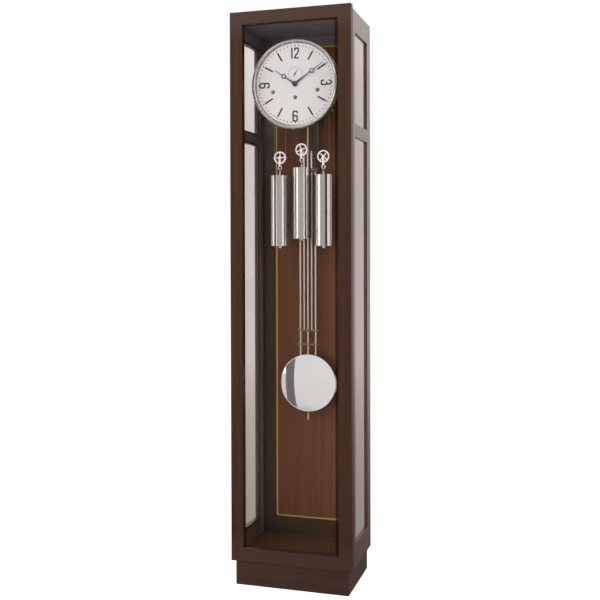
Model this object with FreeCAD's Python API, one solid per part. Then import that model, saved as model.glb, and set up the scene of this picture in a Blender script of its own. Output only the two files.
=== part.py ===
import FreeCAD, Part
import math
import os

# Longcase clock: glazed case with a full-height bevelled door, round dial, weight-driven movement,
# gridiron pendulum, three cable weights and chime rods. Millimetres, +Z up, front towards -Y.
# The origin is on the floor, under the middle of the case.

V = FreeCAD.Vector

# Case
case_width = 412.0
case_depth = 282.0  # door front to the rear edge of the sides
total_height = 1900.0  # floor to the top of the door
plinth_height = 80.0
plinth_side_inset = 13.0
plinth_front_inset = 11.0  # behind the front of the door
plinth_board = 18.0
side_thickness = 22.0
side_front_stile = 28.0
side_rear_stile = 50.0
side_bottom_rail = 80.0
side_middle_rail = 43.0
side_top_rail = 70.0
upper_window_height = 295.0
side_reveal = 6.0  # outer face to the pane
side_rebate = 8.0
side_pane = 4.0
side_bead = 6.0  # depth of the beads behind the panes
pane_clearance = 0.5
floor_thickness = 20.0
top_thickness = 22.0
back_thickness = 12.0
back_recess = 2.0
edge_easing = 1.0  # rounding of the visible wooden edges

# Brass line let into the back panel
inlay_width = 5.0
inlay_depth = 1.2
inlay_proud = 0.2
inlay_side_margin = 49.5  # side frame to the outer edge of the line
inlay_bottom_margin = 82.0
inlay_top_margin = 59.0

# Door
door_thickness = 26.0
door_gap = 2.0  # door back to case front
door_foot_gap = 1.5
door_rise = 10.0  # door above the case top
door_stile = 43.0
door_top_rail = 42.0
door_bottom_rail = 44.0
door_reveal = 16.0  # front face to the glass
door_rebate = 6.0
door_glass = 5.0
bevel_width = 20.0
bevel_edge = 4.2  # glass left at the edge of the bevel

# Hinges on the left edge and the magnet catch on the right
hinge_count = 3
hinge_height = 60.0
hinge_end_margin = 150.0
hinge_leaf = 0.8
hinge_leaf_width = 18.0
hinge_knuckle = 2.6
hinge_pin = 1.2
hinge_offset = 2.8  # knuckle axis outside the case side
hinge_knuckle_count = 5
hinge_knuckle_gap = 0.3
running_clearance = 0.05
catch_height = 40.0
catch_width = 14.0
catch_depth = 12.0
strike_plate = 1.5

# Dial
dial_drop = 225.0  # case top to the dial's middle
dial_share = 0.1625  # case front to dial face, over the inside depth
dial_radius = 147.0
dial_thickness = 1.5
bezel_outer = 150.0
bezel_inner = 135.0
bezel_height = 10.0
bezel_shoulder = 6.0  # edges of the rounded crown, in front of the dial
bezel_lip = 4.0
dial_foot_radius = 3.0
dial_foot_x = 62.0
dial_foot_z = 62.0
winding_hole = 5.5
seconds_hole = 2.5

# Hands
hour_hand_length = 86.0
hour_ring_at = 46.5
minute_hand_length = 118.0
minute_ring_at = 71.0
hand_ring_outer = 7.8
hand_ring_inner = 5.4
hand_boss = 8.5
hand_root_width = 5.0
hand_neck_width = 2.4
hand_tip_width = 1.0
hand_thickness = 0.8
seconds_gap = 1.0  # dial face to seconds hand
hour_gap = 1.8  # seconds hand to hour hand
minute_gap = 2.2  # hour hand to minute hand
winding_stand = 2.0  # winding squares in front of the dial face
seconds_hand_length = 16.0
seconds_tail = 9.0
seconds_boss = 2.6
shown_hours = 10.155  # ten hours and about nine minutes
shown_seconds = 5.0

# Movement plates
plate_setback = 24.0  # dial face to the front of the front plate
plate_thickness = 3.0
plate_gap = 81.0
plate_half_width = 106.0
plate_top = 76.0  # above the dial centre
plate_bottom = 85.0  # below the dial centre
plate_corner = 8.0
pillar_radius = 5.0
pillar_top_drop = 11.0  # pillar centre below the top of the plates
pillar_bottom_rise = 10.0
cable_post_radius = 4.0
end_shake = 0.4

# Teeth, in modules for height and in shares of the pitch for width
tooth_root = 1.35
tooth_tip = 0.9
wheel_tooth_share = 0.40
pinion_leaf_share = 0.34
tip_taper = 0.45
wheel_holes = 5
wheel_hole_share = 0.36  # hole radius over the width of the web

# Going train
wheel_thickness = 2.0
great_thickness = 3.0
pinion_overhang = 1.5
great_teeth = 144
centre_pinion_teeth = 12
centre_teeth = 96
third_pinion_teeth = 12
third_teeth = 90
escape_pinion_teeth = 12
centre_module = 0.50
third_module = 0.45
going_arbor_drop = 44.0  # middle winding arbor below the dial centre
side_arbor_drop = 23.0  # side winding arbors below the dial centre
seconds_rise = 34.0  # escape arbor above the dial centre
side_great_radius = 33.0
side_great_teeth = 96
arbor_radius = 1.6
train_pivot = 1.0
centre_arbor_front = 1.8
great_plane = 17.0  # wheel planes, behind the front plate
centre_plane = 6.0
third_plane = 27.0
escape_plane = 55.0
escape_teeth = 30
escape_radius = 20.0
escape_root = 15.5
escape_tip_lead = 0.55  # tooth tip ahead of its root, in shares of the pitch
escape_tip_land = 0.10
escape_heel = 0.75
pallet_rise = 25.5  # pallet arbor above the escape arbor
pallet_thickness = 6.0
pallet_span = 46.0  # degrees each side of upright
pallet_clearance = 0.3
arch_thickness = 3.2
swing_degrees = 2.0

# Motion work under the dial
cannon_teeth = 30
minute_teeth = 90
minute_pinion_teeth = 20
hour_teeth = 80
minute_module = 0.40
motion_arbor_angle = 200.0  # degrees, from three o'clock towards twelve
cannon_radius = 3.2
hour_pipe_wall = 1.4
dial_pipe_gap = 0.9
motion_plane = 4.0  # minute wheel in front of the front plate
hour_plane = 11.0
motion_stud = 1.5

# Drums and cables
weight_spread = 77.0  # side weights either side of the middle
cable_plane = 47.0  # behind the front plate
cable_diameter = 1.2
cable_radius = 19.5  # round drum and pulley, to the middle of the cable
cable_seat = 0.3
cable_turns = 15
cable_pitch = 1.7
cable_bend = 2.0  # where the cable turns into the drum's rear flange
drum_flange = 24.0
drum_flange_thickness = 2.0
drum_arbor = 3.0

# Weights and pulleys
weight_radius = 31.5
weight_height = 240.0
weight_wall = 1.2
weight_cap = 4.0
weight_cap_lip = 0.5
weight_core_gap = 0.3
weight_knob = 5.5
weight_knob_height = 9.0
weight_knob_round = 3.3
side_weight_drop = 297.0  # dial's middle to the top of the side weights
middle_weight_lift = 25.0
pulley_rise = 62.0  # weight top to pulley centre
pulley_radius = 21.0
pulley_width = 8.0
pulley_rim_inner = 16.6
pulley_hub = 5.0
pulley_spoke = 3.5
pulley_spokes = 4
pulley_turned = {"left": 0.0, "middle": -22.0, "right": -48.0}  # degrees, as the wheels stand at rest
pulley_pin = 2.0
stirrup_gap = 0.6
stirrup_thickness = 1.5
stirrup_width = 7.0
stirrup_block = 5.0
stirrup_foot_gap = 3.0
link_radius = 5.8
link_wire = 1.5
link_play = 0.3

# Pendulum
pendulum_share = 0.4  # back plate to pendulum plane, over the room behind the plate
bob_drop = 1073.5  # suspension to the middle of the bob
bob_radius = 99.0
bob_rim = 6.0
bob_rim_land = 2.0
bob_crown = 11.0
bob_wall = 1.2
bob_core_radius = 60.0
bob_core_thickness = 16.0
grid_spacing = 13.6
grid_rod = 3.0
rod_clearance = 0.2
grid_top_rise = 740.0  # bridges, above the middle of the bob
grid_top_height = 14.0
grid_upper_bar_rise = 184.0
grid_lower_bar_rise = 135.0
grid_bar_height = 6.0
grid_bar_depth = 9.0
grid_bar_overhang = 5.0
grid_bar_point = 5.0
grid_bar_tip = 0.5
brass_rod_overrun = 60.0  # brass rods above the top bridge
spring_length = 20.0
spring_width = 10.0
spring_thickness = 0.4
spring_gap = 0.1
hook_width = 10.0
hook_height = 15.0
nut_radius = 6.5
nut_tip_radius = 4.0
nut_height = 9.0
nut_gap = 0.3
stem_below_nut = 20.0
cock_half_width = 9.0
cock_height = 12.0
cock_overhang = 9.0
cock_lift = 5.0
crutch_drop = 130.0
crutch_gap = 3.0
crutch_width = 5.0
crutch_thickness = 2.0
fork_prong = 2.0
fork_reach = 9.0

# Bracket under the movement
bracket_arm_spread = 38.0
bracket_arm_thickness = 5.0
bracket_arm_height = 20.0
bracket_flange_thickness = 4.0
bracket_flange_height = 84.0
bracket_flange_half_width = 46.0
bracket_tie_depth = 12.0
screw_radius = 2.5
screw_head_radius = 4.5
screw_head_height = 3.0
screw_inset = 10.0

# Chime
chime_rods = 5
chime_rod_radius = 2.0
chime_first_gap = 9.0  # pendulum plane to the first rod
chime_last_gap = 1.5  # last rod to the heads of the bracket screws
chime_side = 22.0
chime_block_half_width = 12.0
chime_block_height = 20.0
chime_block_margin = 7.0  # in front of the first rod
chime_block_rise = 95.0  # above the dial's middle
chime_length = 370.0
chime_step = 23.0
hammer_arbor_side = 75.0
hammer_arbor_rise = 35.0
hammer_arbor = 2.5
hammer_collar = 5.0
hammer_collar_share = 0.5  # collar length over the spacing of the rods
hammer_gap = 1.5
hammer_head_share = 0.32  # head radius over the spacing of the rods
hammer_head_length = 13.0
hammer_stem_at = 9.0  # behind the striking face
hammer_head_drop = 18.0  # below the chime block
hammer_stem = 1.3

# Levels and planes worked out from the sizes above
front_y = -case_depth / 2
rear_y = case_depth / 2
half_width = case_width / 2
door_back_y = front_y + door_thickness
case_front_y = door_back_y + door_gap
case_top = total_height - door_rise
dial_level = case_top - dial_drop
inner_half = half_width - side_thickness
back_face_y = rear_y - back_recess - back_thickness
dial_y = case_front_y + dial_share * (back_face_y - case_front_y)
plate_front_y = dial_y + plate_setback
inside_front_y = plate_front_y + plate_thickness
inside_back_y = inside_front_y + plate_gap
plate_back_y = inside_back_y + plate_thickness
cable_y = inside_front_y + cable_plane
drum_back_y = cable_y + (cable_turns + 2) * cable_pitch
pendulum_y = plate_back_y + pendulum_share * (back_face_y - plate_back_y)
seat_z = dial_level - plate_bottom
escape_z = dial_level + seconds_rise
pivot_z = escape_z + pallet_rise
bob_z = pivot_z - bob_drop
going_arbor_z = dial_level - going_arbor_drop
side_arbor_z = dial_level - side_arbor_drop
hammer_arbor_z = dial_level + hammer_arbor_rise
chime_first_y = pendulum_y + chime_first_gap
screw_face_y = back_face_y - bracket_flange_thickness - screw_head_height
chime_last_y = screw_face_y - chime_last_gap - chime_rod_radius
chime_spacing = (chime_last_y - chime_first_y) / (chime_rods - 1)
chime_rows = [chime_first_y + i * chime_spacing for i in range(chime_rods)]

great_module = 2 * going_arbor_drop / (great_teeth + centre_pinion_teeth)
hour_module = minute_module * (cannon_teeth + minute_teeth) / (minute_pinion_teeth + hour_teeth)
motion_distance = minute_module * (cannon_teeth + minute_teeth) / 2
motion_x = motion_distance * math.cos(math.radians(motion_arbor_angle))
motion_z = dial_level + motion_distance * math.sin(math.radians(motion_arbor_angle))

# The third arbor lies where its distances from the centre and escape arbors meet.
centre_to_third = centre_module * (centre_teeth + third_pinion_teeth) / 2
third_to_escape = third_module * (third_teeth + escape_pinion_teeth) / 2
third_rise = (centre_to_third**2 - third_to_escape**2 + seconds_rise**2) / (2 * seconds_rise)
third_x = math.sqrt(centre_to_third**2 - third_rise**2)
third_z = dial_level + third_rise

hour_pipe_radius = cannon_radius + running_clearance + hour_pipe_wall
seconds_hand_y = dial_y - seconds_gap - hand_thickness
hour_hand_y = seconds_hand_y - hour_gap - hand_thickness
minute_hand_y = hour_hand_y - minute_gap - hand_thickness


# Plain solids
def box(x, y, z):
    """Block between the low and high ends of three pairs."""
    return Part.makeBox(x[1] - x[0], y[1] - y[0], z[1] - z[0], V(x[0], y[0], z[0]))


def rod_x(radius, x, y, z):
    return Part.makeCylinder(radius, x[1] - x[0], V(x[0], y, z), V(1, 0, 0))


def rod_y(radius, x, y, z):
    return Part.makeCylinder(radius, y[1] - y[0], V(x, y[0], z), V(0, 1, 0))


def rod_z(radius, x, y, z):
    return Part.makeCylinder(radius, z[1] - z[0], V(x, y, z[0]), V(0, 0, 1))


def prism_y(points, y):
    """Front-view outline of (x, z) points, extruded from y[0] to y[1]."""
    wire = Part.makePolygon([V(px, y[0], pz) for px, pz in points + points[:1]])
    return Part.Face(wire).extrude(V(0, y[1] - y[0], 0))


def prism_z(points, z):
    """Plan outline of (x, y) points, extruded from z[0] to z[1]."""
    wire = Part.makePolygon([V(px, py, z[0]) for px, py in points + points[:1]])
    return Part.Face(wire).extrude(V(0, 0, z[1] - z[0]))


def rectangle(a, b):
    return [(a[0], b[0]), (a[1], b[0]), (a[1], b[1]), (a[0], b[1])]


def mitred(outer, inner):
    """Outlines of the four mitred members between two rectangles."""
    return [[outer[i], outer[(i + 1) % 4], inner[(i + 1) % 4], inner[i]] for i in range(4)]


def grown(pair, by):
    return (pair[0] - by, pair[1] + by)


def polar(radius, degrees, x=0.0, z=0.0):
    """Point in the front view, at an angle from three o'clock towards twelve."""
    angle = math.radians(degrees)
    return (x + radius * math.cos(angle), z + radius * math.sin(angle))


def fused(solids):
    return solids[0].multiFuse(solids[1:]).removeSplitter()


def eased(solid, outward, distance, along=None):
    """Rounds the edges in the face at a distance along outward: all of them, or those one way."""
    edges = [e for e in solid.Edges if all(abs(v.Point.dot(outward) - distance) < 1e-6 for v in e.Vertexes)]
    if along is not None:
        edges = [e for e in edges if abs(e.tangentAt(e.FirstParameter).dot(along)) > 0.5]
    return solid.makeFillet(edge_easing, edges)


def save(node, *solids):
    shape = solids[0] if len(solids) == 1 else Part.Compound(list(solids))
    shape.exportStep(os.path.join("parts", node + ".step"))


# Case
def build_plinth():
    outer = rectangle(
        grown((-half_width, half_width), -plinth_side_inset),
        (front_y + plinth_front_inset, rear_y),
    )
    inner = rectangle(
        grown((outer[0][0], outer[1][0]), -plinth_board),
        grown((outer[0][1], outer[2][1]), -plinth_board),
    )
    z = (0, plinth_height)
    body = prism_z(outer, z)
    corners = [e for e in body.Edges if e.BoundBox.ZLength > plinth_height / 2]
    ring = body.makeFillet(edge_easing, corners).cut(prism_z(inner, z))
    save("plinth_boards", *[ring.common(prism_z(m, z)) for m in mitred(outer, inner)])


def build_floor_and_top():
    inside = (-inner_half, inner_half)
    depth = (case_front_y, back_face_y)
    save("floor_board", box(inside, depth, (plinth_height, plinth_height + floor_thickness)))
    save("top_board", box(inside, depth, (case_top - top_thickness, case_top)))


window_depth = (case_front_y + side_front_stile, rear_y - side_rear_stile)
upper_window = (case_top - side_top_rail - upper_window_height, case_top - side_top_rail)
lower_window = (plinth_height + side_bottom_rail, upper_window[0] - side_middle_rail)
windows = [lower_window, upper_window]


def across(side, inner, outer):
    """X range between two distances from the middle, on the side -1 or +1."""
    return tuple(sorted((side * inner, side * outer)))


def build_side(side, name):
    """Frame of two stiles and three rails, rebated inside for two panes."""
    x = across(side, inner_half, half_width)
    stiles = [(case_front_y, window_depth[0]), (window_depth[1], rear_y)]
    rails = [(plinth_height, lower_window[0]), (lower_window[1], upper_window[0])]
    rails.append((upper_window[1], case_top))
    members = [box(x, y, (plinth_height, case_top)) for y in stiles]
    members += [box(x, window_depth, z) for z in rails]
    frame = box(x, (case_front_y, rear_y), (plinth_height, case_top))
    for window in windows:
        frame = frame.cut(box(x, window_depth, window))
    frame = eased(frame, V(side, 0, 0), half_width)
    rebate_x = across(side, inner_half, half_width - side_reveal)
    for window in windows:
        frame = frame.cut(box(rebate_x, grown(window_depth, side_rebate), grown(window, side_rebate)))
    save(name, *[frame.common(m) for m in members])


def build_side_panes():
    panes, beads = [], []
    pane_outer = half_width - side_reveal
    pane_inner = pane_outer - side_pane
    edge = side_rebate - pane_clearance
    for side in (-1, 1):
        pane_x = across(side, pane_inner, pane_outer)
        bead_x = across(side, pane_inner - side_bead, pane_inner)
        for window in windows:
            panes.append(box(pane_x, grown(window_depth, edge), grown(window, edge)))
            outer = rectangle(grown(window_depth, side_rebate), grown(window, side_rebate))
            inner = rectangle(window_depth, window)
            for member in mitred(outer, inner):
                wire = Part.makePolygon([V(bead_x[0], y, z) for y, z in member + member[:1]])
                beads.append(Part.Face(wire).extrude(V(bead_x[1] - bead_x[0], 0, 0)))
    save("side_panes", *panes)
    save("side_glazing_beads", *beads)


def build_back():
    """Back panel with a groove that takes the mitred brass line."""
    line_x = grown((-inner_half, inner_half), -inlay_side_margin)
    line_z = (plinth_height + inlay_bottom_margin, case_top - inlay_top_margin)
    outer = rectangle(line_x, line_z)
    inner = rectangle(grown(line_x, -inlay_width), grown(line_z, -inlay_width))
    groove = (back_face_y, back_face_y + inlay_depth)
    panel_y = (back_face_y, rear_y - back_recess)
    panel = box((-inner_half, inner_half), panel_y, (plinth_height, case_top))
    for member in mitred(outer, inner):
        panel = panel.cut(prism_y(member, groove))
    save("back_panel", panel)
    strip_y = (groove[0] - inlay_proud, groove[1])
    save("brass_inlay", *[prism_y(m, strip_y) for m in mitred(outer, inner)])


# Door
door_x = (-half_width, half_width)
door_z = (plinth_height + door_foot_gap, total_height)
sight_x = grown(door_x, -door_stile)
sight_z = (door_z[0] + door_bottom_rail, door_z[1] - door_top_rail)
glass_front_y = front_y + door_reveal
glass_back_y = glass_front_y + door_glass


def build_door():
    sight = rectangle(sight_x, sight_z)
    thickness = (front_y, door_back_y)
    rebate_x, rebate_z = grown(sight_x, door_rebate), grown(sight_z, door_rebate)
    rebate = box(rebate_x, (glass_front_y, door_back_y), rebate_z)
    bars = [
        (door_x, (door_z[0], sight_z[0]), V(1, 0, 0)),
        ((sight_x[1], door_x[1]), door_z, V(0, 0, 1)),
        (door_x, (sight_z[1], door_z[1]), V(1, 0, 0)),
        ((door_x[0], sight_x[0]), door_z, V(0, 0, 1)),
    ]
    members = []
    for (x, z, along), outline in zip(bars, mitred(rectangle(door_x, door_z), sight)):
        bar = eased(box(x, thickness, z), V(0, -1, 0), -front_y, along)
        members.append(bar.cut(rebate).common(prism_y(outline, thickness)))
    save("door_frame", *members)
    edge = door_rebate - pane_clearance
    pane_x, pane_z = grown(sight_x, edge), grown(sight_z, edge)
    shoulder_y = glass_back_y - bevel_edge
    slab = box(pane_x, (shoulder_y, glass_back_y), pane_z)
    foot = [V(x, shoulder_y, z) for x, z in rectangle(pane_x, pane_z)]
    land = [
        V(x, glass_front_y, z)
        for x, z in rectangle(grown(pane_x, -bevel_width), grown(pane_z, -bevel_width))
    ]
    loops = [Part.makePolygon(points + points[:1]) for points in (foot, land)]
    save("door_glass", slab.fuse(Part.makeLoft(loops, True, True)).removeSplitter())
    outer = rectangle(rebate_x, rebate_z)
    save("door_glazing_beads", *[prism_y(m, (glass_back_y, door_back_y)) for m in mitred(outer, sight)])


hinge_x = -(half_width + hinge_offset)
hinge_y = (door_back_y + case_front_y) / 2


def build_hinges():
    """Butt hinges: odd knuckles and the pin stay with the case, even knuckles with the door."""
    case_leaves, door_leaves = [], []
    first = door_z[0] + hinge_end_margin
    step = (door_z[1] - door_z[0] - 2 * hinge_end_margin - hinge_height) / (hinge_count - 1)
    knuckle = hinge_height / hinge_knuckle_count
    leaf_x = (-half_width, -half_width + hinge_leaf_width)
    case_leaf_y = (case_front_y - hinge_leaf, case_front_y)
    door_leaf_y = (door_back_y, door_back_y + hinge_leaf)
    for i in range(hinge_count):
        low = first + i * step
        z = (low, low + hinge_height)
        case_leaf = [box(leaf_x, case_leaf_y, z)]
        door_leaf = [box(leaf_x, door_leaf_y, z)]
        for k in range(hinge_knuckle_count):
            on_case = k % 2 == 0
            span = grown((low + k * knuckle, low + (k + 1) * knuckle), -hinge_knuckle_gap / 2)
            barrel = rod_z(hinge_knuckle, hinge_x, hinge_y, span)
            web = box((hinge_x, -half_width), case_leaf_y if on_case else door_leaf_y, span)
            bore = hinge_pin if on_case else hinge_pin + running_clearance
            piece = barrel.fuse(web).cut(rod_z(bore, hinge_x, hinge_y, z))
            (case_leaf if on_case else door_leaf).append(piece)
        pin = rod_z(hinge_pin, hinge_x, hinge_y, z)
        case_leaves += [fused(case_leaf), pin]
        door_leaves.append(fused(door_leaf))
    save("hinge_case_leaves_and_pins", *case_leaves)
    save("hinge_door_leaves", *door_leaves)


def build_catch():
    x = (inner_half - catch_width, inner_half)
    middle = (door_z[0] + door_z[1]) / 2
    z = grown((middle, middle), catch_height / 2)
    save("catch_magnet", box(x, (case_front_y, case_front_y + catch_depth), z))
    save("catch_strike_plate", box(x, (door_back_y, door_back_y + strike_plate), z))


# Toothed wheels
def toothed(teeth, module, width_share, aim, x, z, y):
    """Spur wheel with radial flanks to the pitch circle and tapered tips, one tooth aimed at an angle."""
    pitch = 360.0 / teeth
    radius = module * teeth / 2
    profile = [(-tooth_root, width_share), (0.0, width_share), (tooth_tip, width_share * tip_taper)]
    points = []
    for i in range(teeth):
        middle = aim + i * pitch
        for rise, share in profile:
            points.append(polar(radius + rise * module, middle - share * pitch / 2, x, z))
        for rise, share in reversed(profile):
            points.append(polar(radius + rise * module, middle + share * pitch / 2, x, z))
    return prism_y(points, y)


def pierced(wheel, radius, hub, x, z, y):
    """Takes round holes out of a wheel's disc between its hub and its rim."""
    middle = (radius + hub) / 2
    hole = (radius - hub) * wheel_hole_share
    for i in range(wheel_holes):
        hx, hz = polar(middle, 90 + i * 360 / wheel_holes, x, z)
        wheel = wheel.cut(rod_y(hole, hx, y, hz))
    return wheel


def heading(x, z, to_x, to_z):
    return math.degrees(math.atan2(to_z - z, to_x - x))


def plane(offset, thickness):
    """Y range of a wheel at a distance behind the front plate."""
    return (inside_front_y + offset, inside_front_y + offset + thickness)


def train_arbor(x, z, front_radius, front_y_end, back_y_end):
    """Arbor between the plates with end shake, and its pivots through them."""
    body = rod_y(arbor_radius, x, (inside_front_y + end_shake, inside_back_y - end_shake), z)
    front = rod_y(front_radius, x, (front_y_end, inside_front_y + 2 * end_shake), z)
    back = rod_y(train_pivot, x, (inside_back_y - 2 * end_shake, back_y_end), z)
    return [body, front, back]


def build_going_train():
    great_y = plane(great_plane, great_thickness)
    up = heading(0, going_arbor_z, 0, dial_level)
    great_radius = great_module * great_teeth / 2
    great = toothed(great_teeth, great_module, wheel_tooth_share, up, 0, going_arbor_z, great_y)
    great = pierced(great, great_radius - 3 * great_module, drum_arbor * 3, 0, going_arbor_z, great_y)
    great = great.cut(rod_y(drum_arbor + running_clearance, 0, great_y, going_arbor_z))
    save("going_great_wheel", great)

    centre_y = plane(centre_plane, wheel_thickness)
    to_third = heading(0, dial_level, third_x, third_z)
    centre_radius = centre_module * centre_teeth / 2
    centre = toothed(centre_teeth, centre_module, wheel_tooth_share, to_third, 0, dial_level, centre_y)
    centre = pierced(centre, centre_radius - 3 * centre_module, arbor_radius * 2, 0, dial_level, centre_y)
    gap_aim = up + 180 + 180 / centre_pinion_teeth
    leaf_y = grown(great_y, pinion_overhang)
    pinion = toothed(centre_pinion_teeth, great_module, pinion_leaf_share, gap_aim, 0, dial_level, leaf_y)
    arbor = train_arbor(0, dial_level, centre_arbor_front, minute_hand_y - hand_thickness, plate_back_y)
    save("centre_wheel", fused([centre, pinion] + arbor))

    third_y = plane(third_plane, wheel_thickness)
    to_escape = heading(third_x, third_z, 0, escape_z)
    third_radius = third_module * third_teeth / 2
    third = toothed(third_teeth, third_module, wheel_tooth_share, to_escape, third_x, third_z, third_y)
    third = pierced(third, third_radius - 3 * third_module, arbor_radius * 2, third_x, third_z, third_y)
    gap_aim = to_third + 180 + 180 / third_pinion_teeth
    leaf_y = grown(centre_y, pinion_overhang)
    pinion = toothed(
        third_pinion_teeth, centre_module, pinion_leaf_share, gap_aim, third_x, third_z, leaf_y
    )
    arbor = train_arbor(third_x, third_z, train_pivot, plate_front_y, plate_back_y)
    save("third_wheel", fused([third, pinion] + arbor))

    escape_y = plane(escape_plane, wheel_thickness)
    points = []
    pitch = 360.0 / escape_teeth
    for i in range(escape_teeth):
        points.append(polar(escape_root, i * pitch, 0, escape_z))
        points.append(polar(escape_radius, (i + escape_tip_lead) * pitch, 0, escape_z))
        points.append(polar(escape_radius, (i + escape_tip_lead + escape_tip_land) * pitch, 0, escape_z))
        points.append(polar(escape_root, (i + escape_heel) * pitch, 0, escape_z))
    escape = pierced(prism_y(points, escape_y), escape_root, arbor_radius * 2, 0, escape_z, escape_y)
    gap_aim = to_escape + 180 + 180 / escape_pinion_teeth
    leaf_y = grown(third_y, pinion_overhang)
    pinion = toothed(escape_pinion_teeth, third_module, pinion_leaf_share, gap_aim, 0, escape_z, leaf_y)
    arbor = train_arbor(0, escape_z, train_pivot, seconds_hand_y, plate_back_y)
    save("escape_wheel", fused([escape, pinion] + arbor))


def build_pallets():
    """Arched pallets on their arbor, with the crutch and its fork behind the back plate."""
    y_mid = inside_front_y + escape_plane + wheel_thickness / 2
    y = grown((y_mid, y_mid), pallet_thickness / 2)
    nib_x, nib_z = polar(escape_radius, 90 - pallet_span, 0, escape_z)
    reach = math.hypot(nib_x, pivot_z - nib_z)
    nib_radius = escape_radius + pallet_clearance + reach * math.radians(swing_degrees)
    arch_outer = nib_radius + arch_thickness
    ring = rod_y(arch_outer, 0, y, escape_z).cut(rod_y(nib_radius, 0, y, escape_z))
    far = 3 * arch_outer
    wedge = [(0, escape_z)]
    wedge += [polar(far, 90 + side * pallet_span, 0, escape_z) for side in (-1, 1)]
    arch = ring.common(prism_y(wedge, y))
    hub = rod_y(arch_thickness, 0, y, pivot_z)
    neck_z = (escape_z + nib_radius + arch_thickness / 2, pivot_z)
    neck = box((-arch_thickness / 2, arch_thickness / 2), y, neck_z)
    arm_y = (plate_back_y + crutch_gap, plate_back_y + crutch_gap + crutch_thickness)
    arbor = train_arbor(0, pivot_z, train_pivot, plate_front_y, arm_y[1])
    fork_z = (pivot_z - crutch_drop, pivot_z - crutch_drop + crutch_width)
    arm = box((-crutch_width / 2, crutch_width / 2), arm_y, (fork_z[0], pivot_z + crutch_width / 2))
    gap = grid_rod + rod_clearance
    bridge_y = (arm_y[0], pendulum_y - grid_rod - fork_prong)
    bridge = box((-crutch_width / 2, crutch_width / 2), bridge_y, fork_z)
    yoke = box((-gap - fork_prong, gap + fork_prong), (bridge_y[1] - fork_prong, bridge_y[1]), fork_z)
    prong_y = (bridge_y[1] - fork_prong, pendulum_y + fork_reach / 2)
    prongs = [box(across(side, gap, gap + fork_prong), prong_y, fork_z) for side in (-1, 1)]
    save("pallets_and_crutch", fused([arch, hub, neck, arm, bridge, yoke] + prongs + arbor))


def build_motion_work():
    wheel_y = (plate_front_y - motion_plane - wheel_thickness, plate_front_y - motion_plane)
    hour_y = (plate_front_y - hour_plane - wheel_thickness, plate_front_y - hour_plane)
    to_motion = motion_arbor_angle
    back = to_motion + 180

    cannon_y = grown(wheel_y, pinion_overhang)
    cannon = toothed(cannon_teeth, minute_module, pinion_leaf_share, to_motion, 0, dial_level, cannon_y)
    pipe = rod_y(cannon_radius, 0, (minute_hand_y, cannon_y[1]), dial_level)
    bore = rod_y(centre_arbor_front, 0, (minute_hand_y, plate_front_y), dial_level)
    save("cannon_pinion", cannon.fuse(pipe).cut(bore))

    gap_aim = back + 180 / minute_teeth
    wheel = toothed(minute_teeth, minute_module, wheel_tooth_share, gap_aim, motion_x, motion_z, wheel_y)
    pinion_y = (hour_y[0] - pinion_overhang, wheel_y[0])
    pinion = toothed(
        minute_pinion_teeth, hour_module, pinion_leaf_share, back, motion_x, motion_z, pinion_y
    )
    bore = rod_y(motion_stud + running_clearance, motion_x, (pinion_y[0], wheel_y[1]), motion_z)
    save("minute_wheel", wheel.fuse(pinion).cut(bore))

    gap_aim = to_motion + 180 / hour_teeth
    hour = toothed(hour_teeth, hour_module, wheel_tooth_share, gap_aim, 0, dial_level, hour_y)
    pipe = rod_y(hour_pipe_radius, 0, (hour_hand_y, hour_y[1]), dial_level)
    bore = rod_y(cannon_radius + running_clearance, 0, (hour_hand_y, hour_y[1]), dial_level)
    save("hour_wheel", hour.fuse(pipe).cut(bore))
    return pinion_y[0]


# Hands
def clock_angle(turns):
    return 90 - 360 * turns


def open_hand(length, ring_at, turns, y, bore):
    """Slender hand with an open ring and a fine point, on a round boss."""
    y = (y, y + hand_thickness)
    root = [(0, -hand_root_width / 2), (ring_at - hand_ring_inner, -hand_neck_width / 2)]
    stem = prism_y(root + [(x, -z) for x, z in reversed(root)], y)
    point = [(ring_at + hand_ring_inner, -hand_neck_width / 2), (length, -hand_tip_width / 2)]
    tip = prism_y(point + [(x, -z) for x, z in reversed(point)], y)
    ring = rod_y(hand_ring_outer, ring_at, y, 0).cut(rod_y(hand_ring_inner, ring_at, y, 0))
    stem = stem.cut(rod_y(hand_ring_inner, ring_at, y, 0))
    tip = tip.cut(rod_y(hand_ring_inner, ring_at, y, 0))
    hand = fused([stem, ring, tip, rod_y(hand_boss, 0, y, 0)])
    hand = hand.cut(rod_y(bore, 0, y, 0))
    hand.rotate(V(0, 0, 0), V(0, -1, 0), clock_angle(turns))
    hand.translate(V(0, 0, dial_level))
    return hand


def build_hands():
    minutes = shown_hours % 1
    hours = shown_hours / 12
    hour_hand = open_hand(hour_hand_length, hour_ring_at, hours, hour_hand_y, hour_pipe_radius)
    save("hour_hand", hour_hand)
    minute_hand = open_hand(minute_hand_length, minute_ring_at, minutes, minute_hand_y, cannon_radius)
    save("minute_hand", minute_hand)
    y = (seconds_hand_y, seconds_hand_y + hand_thickness)
    width = (-hand_tip_width / 2, hand_tip_width / 2)
    bar = prism_y(rectangle((-seconds_tail, seconds_hand_length), width), y)
    hand = fused([bar, rod_y(seconds_boss, 0, y, 0), rod_y(seconds_boss / 2, -seconds_tail, y, 0)])
    hand = hand.cut(rod_y(train_pivot, 0, y, 0))
    hand.rotate(V(0, 0, 0), V(0, -1, 0), clock_angle(shown_seconds / 60))
    hand.translate(V(0, 0, escape_z))
    save("seconds_hand", hand)


# Dial
winding_arbors = [
    ("left", -weight_spread, side_arbor_z),
    ("middle", 0.0, going_arbor_z),
    ("right", weight_spread, side_arbor_z),
]


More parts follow.
